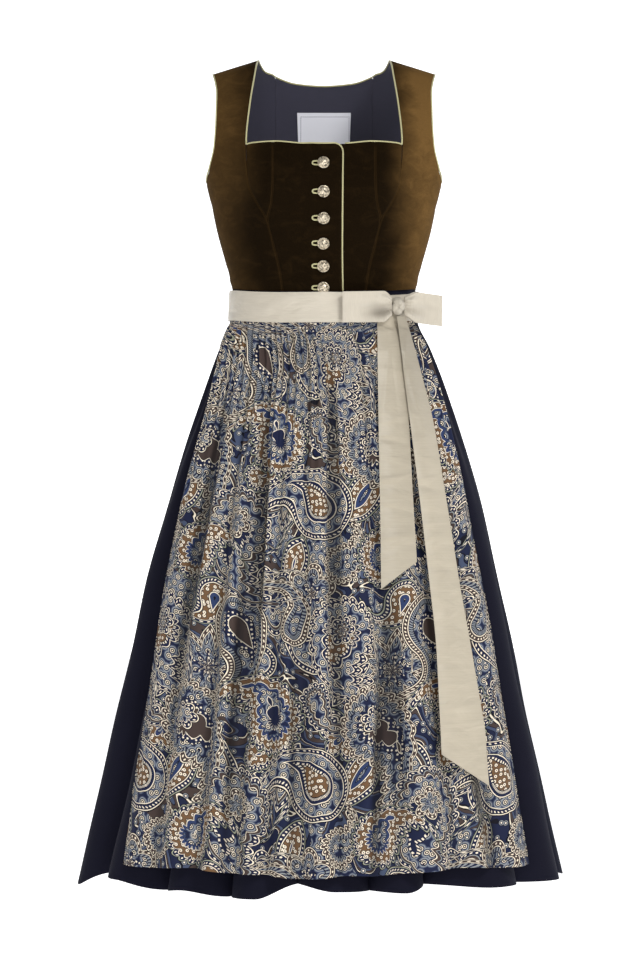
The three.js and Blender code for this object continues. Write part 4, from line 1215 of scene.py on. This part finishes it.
def knot_frame():
    """The knot's middle, the way out of the band there and the way along it."""
    turned, drop, step = math.radians(KNOT["turned"]), KNOT["drop"], SMALL_STEP
    at, beside, low, high = (
        oval_point(np.array(turned + aside), np.array(drop + down), BAND_OUT + LAYER_GAP)
        for aside, down in ((0, 0), (step, 0), (0, -step), (0, step))
    )
    out = unit(np.cross(beside - at, low - high))
    return at + out * KNOT["out"] * (1 - KNOT["groove"]), out, np.array([-out[1], out[0], 0])


def knot_grid():
    """The knot, in rings from its top to its foot, with the tie's turns as grooves round it."""
    middle, out, run = knot_frame()
    around = np.linspace(0, 1, 65)[None, :]
    level = np.linspace(0.03, 0.97, 40)[:, None]
    ring = np.sin(level * math.pi)
    seen = np.where(around > 0.5, around - 1, around)
    wound = np.abs(np.cos(math.pi * (2.2 * (level - 0.5) - 2.2 * seen * np.cos(math.pi * seen) + 0.3)))
    crossed = np.abs(np.sin(math.pi * (1.1 * (level - 0.42) + 1.6 * seen)))
    groove = 0.3 * (1 - wound) ** 1.6 + 0.2 * (1 - crossed) ** 4
    groove = 1 - groove * ring * np.cos(math.pi * seen) ** 0.5
    angle = 2 * math.pi * around
    return (
        middle
        + (KNOT["out"] * groove * ring * np.cos(angle))[..., None] * out
        + (KNOT["across"] * groove * ring * np.sin(angle))[..., None] * run
        + (KNOT["high"] * np.cos(level * math.pi) * np.ones(around.shape))[..., None] * UP
    )


def loop_grid(loop, across_count=40, travel_count=150):
    """A loop of the tie, out from the knot and back, and a mask of painted shade for its dent and the creases
    by the knot.

    Creases fan out of the knot, and on the outer layer there is a dent and a swell beside it.
    """
    middle, _, run = knot_frame()
    start = middle + run * loop["towards"] * (KNOT["across"] + LOOP["clear"])
    reach = np.array([loop["tip"][0] - start[0], loop["tip"][1] - start[1], 0])
    outward = np.array([-reach[1], reach[0], 0]) / np.linalg.norm(reach)
    if outward[1] > 0:
        outward = -outward
    across = np.linspace(0, 1, across_count)[None, :]
    travel = np.linspace(0, 1, travel_count)[:, None]
    t = mix(LOOP["start"], 1 - LOOP["start"], travel)
    going = t < 0.5
    away = 0.5 - 0.5 * np.cos(2 * math.pi * t)
    bend = loop["bend"] * np.sin(math.pi * away)
    half = mix(LOOP["pinched"], LOOP["full"], smoothstep(away, 0, loop["filled"]))
    fan = LOOP["fan"] * np.cos(6 * math.pi * (across - 0.5) + 0.6) * np.exp(-away * 3.4)
    fan = fan + LOOP["ripple"] * np.cos(3 * math.pi * across + 4 * away) * np.sin(math.pi * away)
    dent = bell(away - 0.25, 0.28) * bell(across - 0.33, 0.22) * going * loop["dented"]
    swell = bell(away - 0.2, 0.12) * bell(across - 0.78, 0.14) * going
    fan = fan - LOOP["dent"] * dent + LOOP["swell"] * swell
    edge = np.sin(math.pi * across) ** 0.4
    wave = np.sin(2 * math.pi * t)
    push = loop["puff"] * wave + bend + fan * np.sign(wave) * edge * smoothstep(away, 0.0, 0.08)
    push = np.where(going, np.maximum(push, bend + LOOP["apart"]), push)
    height = mix(-half, half, across) + loop["tilt"] * away
    points = (
        start
        + (away * np.ones(across.shape))[..., None] * reach
        + (push * np.ones(across.shape))[..., None] * outward
        + height[..., None] * UP
    )
    # Painted shade in the dent and in the creases near the knot.
    painted_crease_shade = np.clip(-fan - LOOP["dent"] * dent - 0.6, 0, 1) * bell(away, 0.2)
    return points, np.clip(dent + 0.4 * painted_crease_shade, 0, 1)


TAIL_TOP = -333.6
TAIL_SETTLED = -400
TAIL_ROW = "at left right depth"

# Each tail's edges at each height, how deep its waves are there, and how far it stands off the apron.
# Each tail's tone is a share of the band's satin that paints it darker, as painted shade.
TAILS = [
    {
        "name": "tail_short",
        "tone": (0.82, 0.8, 0.75),
        "over": 1,
        "top": -326,
        "settled": 1.9,
        "slant": (-38, -3),
        "rows": table(
            TAIL_ROW,
            (-658, 74, 121, 1.2), (-590, 73, 117, 1.5), (-526, 72, 114, 1.5), (-440, 71, 110, 1.5),
            (-380, 70.5, 104, 1), (-350, 70.5, 101, 0.5), (-326, 71, 100, 0),
        ),
        "creases": table(
            CREASE,
            (84, -400, 84, 50, 3, 1.2), (92, -420, 96, 60, 3, -1.2), (95, -470, 12, 20, 4, 1.5),
            (90, -500, -14, 22, 4, -1.5), (95, -548, 10, 24, 5, 1.7), (100, -592, -12, 22, 4, -1.5),
            (98, -628, 8, 24, 5, 1.5),
        ),
    },
    {
        "name": "tail_long",
        "tone": (0.9, 0.88, 0.83),
        "over": 4.2,
        "top": TAIL_TOP,
        "settled": KNOT["out"] + 2.1,
        "slant": (-2, -44),
        "rows": table(
            TAIL_ROW,
            (-907, 152, 214.5, 1), (-840, 149, 203, 1.5), (-768, 145.5, 191, 1.5), (-694, 138, 178, 1.5),
            (-621, 130, 167, 1.5), (-550, 122, 156, 1.5), (-478, 113.5, 145, 1.5), (-406, 105, 128, 1),
            (-356, 99.5, 114.5, 0.5), (TAIL_TOP, 96.5, 108, 0),
        ),
        "creases": table(
            CREASE,
            (106, -390, 84, 46, 3, 1.2), (116, -450, 104, 60, 4, -1.2), (120, -500, 14, 20, 5, 1.7),
            (128, -560, -18, 24, 5, -1.7), (142, -610, 8, 24, 4, 1.7), (150, -668, -8, 26, 5, -1.7),
            (158, -730, 12, 26, 5, 1.0), (166, -790, -14, 28, 6, -1.7), (172, -850, 6, 26, 5, 1.5),
            (178, -900, -20, 26, 5, -1.5),
        ),
    },
]


def tail_grid(tail, columns=26, rows=180):
    edges = curves(tail["rows"])
    end = tail["rows"][0]["at"]
    cut = (end + tail["rows"][1]["at"]) / 2
    share = np.linspace(0, 1, columns)[None, :]
    height = mix(end, tail["top"], np.linspace(0, 1, rows)[:, None])
    x = mix(edges["left"](height), edges["right"](height), share)
    z = height + (1 - smoothstep(height, end, cut)) * mix(*tail["slant"], share)
    drop = -z - BODICE_LENGTH
    waves = edges["depth"](height) * np.sin(1.5 * math.pi * share)
    over = SATIN_ROOM + tail["over"] + waves
    out = APRON_OVER_SKIRT + APRON["depth"](np.maximum(drop - APRON_TOP, 0)) + over
    held = mix(BAND_OUT + tail["settled"], out, smoothstep(-height, -TAIL_TOP, -TAIL_SETTLED))
    off = np.maximum(out, held) + creased(x, z, tail["creases"])
    angle = np.arcsin(np.clip(x / (SKIRT["side"](drop) + off), -1, 1))
    y = -(SKIRT["front"](drop) + off) * np.cos(angle)
    return np.stack(np.broadcast_arrays(x, y, z), axis=-1)


# The trims: piping, buttonholes and buttons


CORD_STEP = 1.7
CORD_SUNK = 0.5


def edge_run(grids, name, where, below=9.0):
    """A piece's edge, up from the level `below`: its points, the cloth's normals and the points inside."""
    grid = grids[name]
    normal = normals_of(grid, facing_of(name))
    if name == "front_right":
        grid = grid + normal * overlap_lift(grid[..., :1])
    if where == "top":
        return grid[-1], normal[-1], grid[-2]
    column, inside = (0, 1) if where == "inner" else (-1, -2)
    rows = 9 - 9 * crowded(len(grid)) <= below if "side" in name else np.ones(len(grid), bool)
    return grid[rows, column], normal[rows, column], grid[rows, inside]


def piping_path(edges, radius):
    """The middle of a cord laid against an edge, and the cloth's normals along it."""
    point, normal, within = (np.concatenate(part) for part in zip(*edges))
    kept = [0]
    for i in range(1, len(point)):
        if np.linalg.norm(point[i] - point[kept[-1]]) > CORD_STEP:
            kept.append(i)
    point, normal, within = point[kept], normal[kept], within[kept]
    leaving = unit(np.diff(point, axis=0, append=2 * point[-1:] - point[-2:-1]))
    arriving = np.concatenate([leaving[:1], leaving[:-1]])
    tangent = unit(arriving + leaving)
    out = unit(np.cross(tangent, normal))
    out *= np.sign((out * (point - within)).sum(axis=1, keepdims=True))
    turn = np.clip((tangent * leaving).sum(axis=1, keepdims=True), 0.6, 1)
    return point + out * radius / turn - normal * CORD_SUNK, normal


def on_bodice_front(x, z):
    """Points of the body's front at x and z, and the cloth's normals there."""
    level = level_at(np.zeros(np.broadcast(x, z).shape), z, True)
    angle = np.arcsin(x / BODY["half"](level))
    at = body_point(angle, level, True)
    along = body_point(angle + SMALL_STEP, level, True) - at
    down = body_point(angle, level + SMALL_STEP, True) - at
    return at, unit(np.cross(down, along))


BUTTON_DROPS = [138.5, 175, 208, 238.5, 267, 295.5]
BUTTON_ACROSS = -1.0
BUTTONHOLE = {"length": 20, "height": 7, "slit": 2.8, "shift": -6.5}

# Metres. Each step of the button's body goes up and then widens or narrows by a share.
BUTTON = {"shank": 0.0009, "foot": 0.0004}
# A slant on which no two of a button's faces lie equally far.
ACROSS_ALL = Vector((1, 1.618, 2.303))
BEAD = {"count": 22, "ring": 0.0067, "height": 0.0046, "radius": 0.00075}
PETAL = {"count": 8, "ring": 0.0037, "height": 0.0062, "radius": 0.0013, "wire": 0.00026, "lean": 0.42}
TOP_BEAD = {"radius": 0.0015, "height": 0.0073}
RIM_SHARE = 0.88
BODY_STEPS = [
    (0.0006, 1.13), (0.0008, 1.0), (0.0004, 0.96), (0.0001, 0.9), (-0.0005, 0.985), (0.0011, 0.93),
    (0.0012, 0.84), (0.0010, 0.72), (0.0006, 0.55), (0.0002, 0.3),
]


def ring_places(count, radius, height):
    """So many places round a ring: the turn of each, and its point."""
    turns = [place * 2 * math.pi / count for place in range(count)]
    return [(turned, (radius * math.cos(turned), radius * math.sin(turned), height)) for turned in turns]


def put_in_order(node):
    """Numbers a mesh's points, edges and faces by their places, so that each run numbers them alike."""
    made = bmesh.new()
    made.from_mesh(node.data)
    made.verts.sort(key=lambda vertex: vertex.co.dot(ACROSS_ALL))
    made.edges.sort(key=lambda edge: (edge.verts[0].co + edge.verts[1].co).dot(ACROSS_ALL))
    made.faces.sort(key=lambda face: face.calc_center_median().dot(ACROSS_ALL))
    made.to_mesh(node.data)
    made.free()


def model_button():
    """One filigree button: a rimmed dome with wires, a ring of beads and a bead on top, on a shank."""
    mesh, place = bpy.ops.mesh, bpy.ops.object
    deselect()
    mesh.primitive_circle_add(
        vertices=48, radius=BUTTON["shank"], fill_type="NGON", location=(0, 0, BUTTON["foot"])
    )
    body = bpy.context.object
    body.data.materials.append(silver("dome", 1.15))
    place.mode_set(mode="EDIT")
    mesh.select_all(action="SELECT")
    rim = RIM_SHARE * sizes().button / BUTTON["shank"]
    for rise, width in [(0.0018, 1.0), (0.0, rim), *BODY_STEPS]:
        mesh.extrude_region_move(TRANSFORM_OT_translate={"value": (0, 0, rise)})
        bpy.ops.transform.resize(value=(width, width, 1))
    place.mode_set(mode="OBJECT")
    wires = []
    for turned, point in ring_places(PETAL["count"], PETAL["ring"], PETAL["height"]):
        mesh.primitive_torus_add(
            major_radius=PETAL["radius"],
            minor_radius=PETAL["wire"],
            major_segments=16,
            minor_segments=6,
            location=point,
            rotation=(0, PETAL["lean"], turned),
        )
        wires.append(bpy.context.object)
    for _, point in ring_places(BEAD["count"], BEAD["ring"], BEAD["height"]):
        mesh.primitive_ico_sphere_add(subdivisions=1, radius=BEAD["radius"], location=point)
        wires.append(bpy.context.object)
    mesh.primitive_uv_sphere_add(
        segments=16, ring_count=8, radius=TOP_BEAD["radius"], location=(0, 0, TOP_BEAD["height"])
    )
    wires.append(bpy.context.object)
    for wire in wires:
        wire.select_set(True)
        wire.data.materials.append(silver("wire", 1.4))
    body.select_set(True)
    bpy.context.view_layer.objects.active = body
    place.join()
    place.transform_apply(location=True, rotation=True, scale=True)
    place.shade_smooth_by_angle(angle=math.radians(50))
    put_in_order(body)
    recalculate(body)
    return body


def placed_copy(original, name, place):
    """A copy of a piece modelled at the origin, turned and moved to its place in millimetres."""
    middle, along, up, out = place
    mesh = original.data.copy()
    mesh.name = name
    points = np.empty(len(mesh.vertices) * 3)
    mesh.vertices.foreach_get("co", points)
    turned = points.reshape(-1, 3) @ np.stack([along, up, out]) + settled(middle) * MM
    mesh.vertices.foreach_set("co", turned.reshape(-1))
    mesh.update()
    return linked(name, mesh)


# The operators


class DIRNDL_OT_velvet(bpy.types.Operator):
    """Sews the bodice's nine pieces of velvet"""

    bl_idname = "dirndl.velvet"
    bl_label = "Velvet bodice"

    def execute(self, context):
        for name, grid in bodice_grids().items():
            # Painted highlight along each piece's seams and edges, fading in below the neckline.
            folds = bell(seam_distance(grid) - SEAM_PAINTED_HIGHLIGHT["from_edge"], SEAM_PAINTED_HIGHLIGHT["wide"])
            folds *= smoothstep(-grid[..., 2], *SEAM_PAINTED_HIGHLIGHT["below"])
            materials = [velvet(), lining()]
            sew(name, grid, facing_of(name), sizes().velvet, materials,
                lift=bodice_lift(name, grid), folds=folds)
        return {"FINISHED"}


class DIRNDL_OT_lining(bpy.types.Operator):
    """Lines the back, and sews the label to the lining"""

    bl_idname = "dirndl.lining"
    bl_label = "Lining and label"

    LABEL = {"width": 74, "top": -55, "bottom": -101, "thickness": 0.6, "ease": 0.9, "level": 3}

    def execute(self, context):
        depth = sizes().velvet / MM + LAYER_GAP
        grids = bodice_grids()
        for name in ("centre_back", "side_back_right", "side_back_left"):
            sew(f"lining_{name}", grids[name], facing_of(name), sizes().lining, [lining()],
                lift=-depth)
        self.label(depth + sizes().lining / MM + self.LABEL["ease"])
        return {"FINISHED"}

    def label(self, inset, columns=30, rows=20):
        half_width, half_height = self.LABEL["width"] / 2, (self.LABEL["top"] - self.LABEL["bottom"]) / 2
        x = np.linspace(-half_width, half_width, columns)[None, :]
        angle = np.arcsin(x / BODY["half"](self.LABEL["level"])) * np.ones((rows, 1))
        height = np.linspace(self.LABEL["bottom"], self.LABEL["top"], rows)[:, None] * np.ones(angle.shape)
        grid = body_point(angle, level_at(angle, height, False), False)
        materials = [label_cloth(half_width * MM, half_height * MM)]
        sew("label", grid, -1, self.LABEL["thickness"] * MM, materials,
            lift=-inset)


class DIRNDL_OT_piping(bpy.types.Operator):
    """Lays the covered cord along the neckline, the overlap and the armholes"""

    bl_idname = "dirndl.piping"
    bl_label = "Piping"

    # Each cord's edges: the piece, the edge, the level that it starts from, and whether it runs down.
    LINES = {
        "front_right": (
            ("front_right", "inner", 9, False), ("front_right", "top", 9, False),
            ("cup_right", "top", 9, False), ("side_front_right", "inner", 4, False),
        ),
        "front_left": (
            ("front_left", "top", 9, False), ("cup_left", "top", 9, False),
            ("side_front_left", "inner", 4, False),
        ),
        "back": (
            ("side_back_right", "inner", 1.9, True), ("centre_back", "top", 9, False),
            ("side_back_left", "inner", 1.9, False),
        ),
        "armhole_right": (("side_front_right", "outer", 5, True), ("side_back_right", "outer", 5, False)),
        "armhole_left": (("side_front_left", "outer", 5, True), ("side_back_left", "outer", 5, False)),
    }

    def execute(self, context):
        grids = bodice_grids()
        radius = sizes().piping / MM
        for name, line in self.LINES.items():
            edges = []
            for piece, where, below, down in line:
                parts = edge_run(grids, piece, where, below)
                if piece == "front_left":
                    clear = parts[0][:, 0] > OVERLAP + 2 * radius + 1
                    parts = [part[clear] for part in parts]
                edges.append([part[::-1] for part in parts] if down else parts)
            path, normal = piping_path(edges, radius)
            cord = tube(f"piping_{name}_cord", path, normal, sizes().piping, piping_cloth())
            fit(cord, [f"piping_{name}"])
        return {"FINISHED"}


class DIRNDL_OT_buttons(bpy.types.Operator):
    """Models one filigree button and puts six of it, with their bound buttonholes, down the front"""

    bl_idname = "dirndl.buttons"
    bl_label = "Buttons and buttonholes"

    def execute(self, context):
        original = model_button()
        for number, drop in enumerate(BUTTON_DROPS, 1):
            at, out = on_bodice_front(np.array(BUTTON_ACROSS), np.array(-float(drop)))
            along = unit(np.array([1.0, 0, 0]) - out[0] * out)
            place = (at + out * OVERLAP_LIFT, along, np.cross(out, along), out)
            fit(placed_copy(original, f"filigree_button_{number}", place), [f"button_{number}"])
            fit(self.buttonhole(number, -float(drop)), [f"buttonhole_{number}"])
        bpy.data.objects.remove(original)
        return {"FINISHED"}

    def buttonhole(self, number, height):
        """A cord that runs round the slit, from under the button and back."""
        lip = (BUTTONHOLE["height"] - BUTTONHOLE["slit"]) / 4
        turned = np.linspace(0, 2 * math.pi, 90)[:-1]
        across, up = np.cos(turned), np.sin(turned)
        x = BUTTONHOLE["shift"] + (BUTTONHOLE["length"] / 2 - lip) * np.sign(across) * np.abs(across) ** 0.4
        z = height + (BUTTONHOLE["height"] / 2 - lip) * np.sign(up) * np.abs(up) ** 0.75
        at, out = on_bodice_front(x, z)
        path = at + out * (OVERLAP_LIFT + lip * 0.45)
        return tube(f"buttonhole_{number}_lips", path, out, lip * MM, piping_cloth(), sides=8)


class DIRNDL_OT_skirt(bpy.types.Operator):
    """Gathers the skirt's four widths of cloth to the waist"""

    bl_idname = "dirndl.skirt"
    bl_label = "Skirt"

    def execute(self, context):
        for panel in SKIRT_PANELS:
            grid = skirt_grid(panel)
            share = np.linspace(0, 1, grid.shape[1])[None, :]
            lift = rumple(grid, 1.1) * smoothstep(np.minimum(share, 1 - share), 0, SEAM_FLAT)
            sew(panel["name"], grid, -1, sizes().skirt, [skirt_cloth()],
                lift=lift)
        return {"FINISHED"}


class DIRNDL_OT_apron(bpy.types.Operator):
    """Gathers the printed apron to its band"""

    bl_idname = "dirndl.apron"
    bl_label = "Apron"

    def execute(self, context):
        grid, stand = apron_grid()
        x, z = grid[..., 0], grid[..., 2]
        sunk = creased(x, z, APRON_CREASES) * smoothstep(-z, 380, 480)
        lift = np.maximum(sunk + rumple(grid, 0.8), -APRON_SUNK - stand)
        lift = lift + APRON_LIFTED * smoothstep(-z, 820, 1040)
        # Painted shade in the crease valleys, and in the valleys between the gathers just under the band.
        folds = np.clip(-sunk / 5, 0, 1) ** 1.3 + 0.45 * bell(stand, 1.2) * smoothstep(-z, 360, 430)
        sew("apron", grid, -1, sizes().apron, [printed_cotton()],
            lift=lift, folds=np.clip(folds, 0, 1))
        return {"FINISHED"}


class DIRNDL_OT_band(bpy.types.Operator):
    """Puts the satin band round the waist"""

    bl_idname = "dirndl.band"
    bl_label = "Band"

    def execute(self, context):
        for part in BAND_PIECES:
            angle = np.radians(np.linspace(part["from"], part["to"], BAND_COLUMNS))[None, :]
            turned = np.degrees(angle)
            high = BAND_EDGE + 4.5 * smoothstep(turned, 38, 44) * (1 - smoothstep(turned, 80, 100))
            drop = high + (BAND_HEIGHT + BAND_EDGE - high) * crowded(24, 0.5)[:, None]
            grid = oval_point(angle, drop, BAND_OUT)
            x, z = grid[..., 0], grid[..., 2]
            edge = np.minimum(drop - BAND_EDGE, BAND_EDGE + BAND_HEIGHT - drop)
            lift = creased(x, z, BAND_CREASES) - 0.5 * bell(edge - 1.6, 1.1) - 0.35 * bell(edge, 0.8)
            lift = lift + 0.25 * np.sin(angle * 23 + drop / 7) * np.sin(angle * 9 + 1)
            lift = lift + 4.6 * bell(x - BUTTON_ACROSS, 13) * bell(drop, 10) * (np.cos(angle) > 0)
            sew(part["name"], grid, -1, sizes().satin, [satin("band", PALE)],
                lift=lift)
        return {"FINISHED"}


class DIRNDL_OT_bow(bpy.types.Operator):
    """Ties the bow: its knot, its two loops and its two tails"""

    bl_idname = "dirndl.bow"
    bl_label = "Bow"

    def execute(self, context):
        rings = knot_grid()[:, :-1] * MM
        knot = skin("bow_knot_cloth", rings, rings[:, 0, 2] - rings[0, 0, 2], satin("band", PALE))
        fit(knot, ["bow_knot"])
        for loop in LOOPS:
            # folds is the loop's mask of painted shade.
            grid, folds = loop_grid(loop)
            sew(loop["name"], grid, -loop["towards"], sizes().satin, [satin("band", PALE)],
                folds=folds)
        for tail in TAILS:
            cloth = satin(tail["name"], tail["tone"])
            sew(tail["name"], tail_grid(tail), 1, sizes().satin, [cloth])
        return {"FINISHED"}


# The stage


LIGHTS = table(
    "name place width height power",
    ("key", (2.4, -4.2, 2.9), 1.2, 1.2, 170), ("front", (-0.9, -7.2, 0.1), 1.6, 1.6, 95),
    ("rim_right", (-3.2, 1.4, 0.6), 1.6, 2.6, 10), ("rim_left", (3.2, 1.4, 0.6), 1.6, 2.6, 18),
)
SKY = {"colour": (0.92, 0.94, 1.0, 1), "strength": 0.34}
CAMERA = {"place": (-0.0054, -6.0, -0.5545), "lens": 167.9, "sensor": 36}
BACKDROP = {"level": -1.5, "middle": 3, "width": 36, "depth": 32, "sweep": 2.5, "wall": 8, "glow": 0.88}


def area_light(name, place, width, height, power):
    """A soft light that faces the middle of the dress."""
    bpy.ops.object.light_add(type="AREA", location=place)
    lamp = bpy.context.object
    lamp.name = name
    lamp.rotation_euler = (Vector((0, 0, -0.55)) - Vector(place)).to_track_quat("-Z", "Y").to_euler()
    lamp.data.shape = "RECTANGLE"
    lamp.data.size, lamp.data.size_y = width, height
    lamp.data.energy = power
    return lamp


class DIRNDL_OT_stage(bpy.types.Operator):
    """Sets a pale swept backdrop, soft studio lights and the camera"""

    bl_idname = "dirndl.stage"
    bl_label = "Stage"

    def execute(self, context):
        self.backdrop()
        for light in LIGHTS:
            area_light(**light)
        world = bpy.data.worlds.new("studio")
        world.use_nodes = True
        sky = world.node_tree.nodes["Background"]
        sky.inputs[0].default_value = SKY["colour"]
        sky.inputs[1].default_value = SKY["strength"]
        context.scene.world = world
        context.scene.view_settings.view_transform = "Standard"
        bpy.ops.object.camera_add(location=CAMERA["place"], rotation=(math.pi / 2, 0, 0))
        camera = bpy.context.object
        camera.data.lens = CAMERA["lens"]
        camera.data.sensor_width = CAMERA["sensor"]
        context.scene.camera = camera
        return {"FINISHED"}

    def backdrop(self):
        """A white floor that sweeps up into a wall, well behind the dress."""
        deselect()
        bpy.ops.mesh.primitive_plane_add(size=1, location=(0, BACKDROP["middle"], BACKDROP["level"]))
        backdrop = bpy.context.object
        backdrop.name = "backdrop"
        bpy.ops.transform.resize(value=(BACKDROP["width"], BACKDROP["depth"], 1))
        bpy.ops.object.transform_apply(location=True, rotation=True, scale=True)
        bpy.ops.object.mode_set(mode="EDIT")
        bpy.ops.mesh.select_all(action="DESELECT")
        made = bmesh.from_edit_mesh(backdrop.data)
        far = BACKDROP["middle"] + BACKDROP["depth"] / 2
        for edge in made.edges:
            edge.select = all(vertex.co.y > far - 1 for vertex in edge.verts)
        bmesh.update_edit_mesh(backdrop.data)
        bpy.ops.mesh.spin(
            steps=12,
            angle=math.pi / 2,
            center=(0, far, BACKDROP["level"] + BACKDROP["sweep"]),
            axis=(1, 0, 0),
            use_normal_flip=False,
        )
        bpy.ops.mesh.extrude_region_move(TRANSFORM_OT_translate={"value": (0, 0, BACKDROP["wall"])})
        bpy.ops.object.mode_set(mode="OBJECT")
        bpy.ops.object.shade_smooth()
        paper = Recipe("backdrop_paper")
        grain = paper.noise(paper.object_place(), 30, 2)
        tint = tuple(colours().floor)
        backdrop.data.materials.append(
            paper.finish(
                Base_Color=paper.blend(grain, tint, dim(tint, 0.98)),
                Roughness=0.9,
                Emission_Color=(1, 1, 1, 1),
                Emission_Strength=BACKDROP["glow"],
            )
        )
        return backdrop


class DIRNDL_PT_panel(bpy.types.Panel):
    bl_idname = "DIRNDL_PT_panel"
    bl_label = "Dirndl"
    bl_space_type = "VIEW_3D"
    bl_region_type = "UI"
    bl_category = "Dirndl"

    def draw(self, context):
        for settings in (context.scene.dirndl_sizes, context.scene.dirndl_colours):
            box = self.layout.box()
            for name in settings.__annotations__:
                box.prop(settings, name)
        for step in STEPS:
            self.layout.operator(step.bl_idname)


STEPS = [
    DIRNDL_OT_velvet,
    DIRNDL_OT_lining,
    DIRNDL_OT_piping,
    DIRNDL_OT_buttons,
    DIRNDL_OT_skirt,
    DIRNDL_OT_apron,
    DIRNDL_OT_band,
    DIRNDL_OT_bow,
    DIRNDL_OT_stage,
]
CLASSES = [DirndlSizes, DirndlColours, *STEPS, DIRNDL_PT_panel]


def register():
    for kind in CLASSES:
        bpy.utils.register_class(kind)
    bpy.types.Scene.dirndl_sizes = bpy.props.PointerProperty(type=DirndlSizes)
    bpy.types.Scene.dirndl_colours = bpy.props.PointerProperty(type=DirndlColours)


def unregister():
    del bpy.types.Scene.dirndl_colours
    del bpy.types.Scene.dirndl_sizes
    for kind in reversed(CLASSES):
        bpy.utils.unregister_class(kind)


def main():
    register()
    bpy.ops.dirndl.velvet()
    bpy.ops.dirndl.lining()
    bpy.ops.dirndl.piping()
    bpy.ops.dirndl.buttons()
    bpy.ops.dirndl.skirt()
    bpy.ops.dirndl.apron()
    bpy.ops.dirndl.band()
    bpy.ops.dirndl.bow()
    bpy.ops.dirndl.stage()


if __name__ == "__main__":
    main()
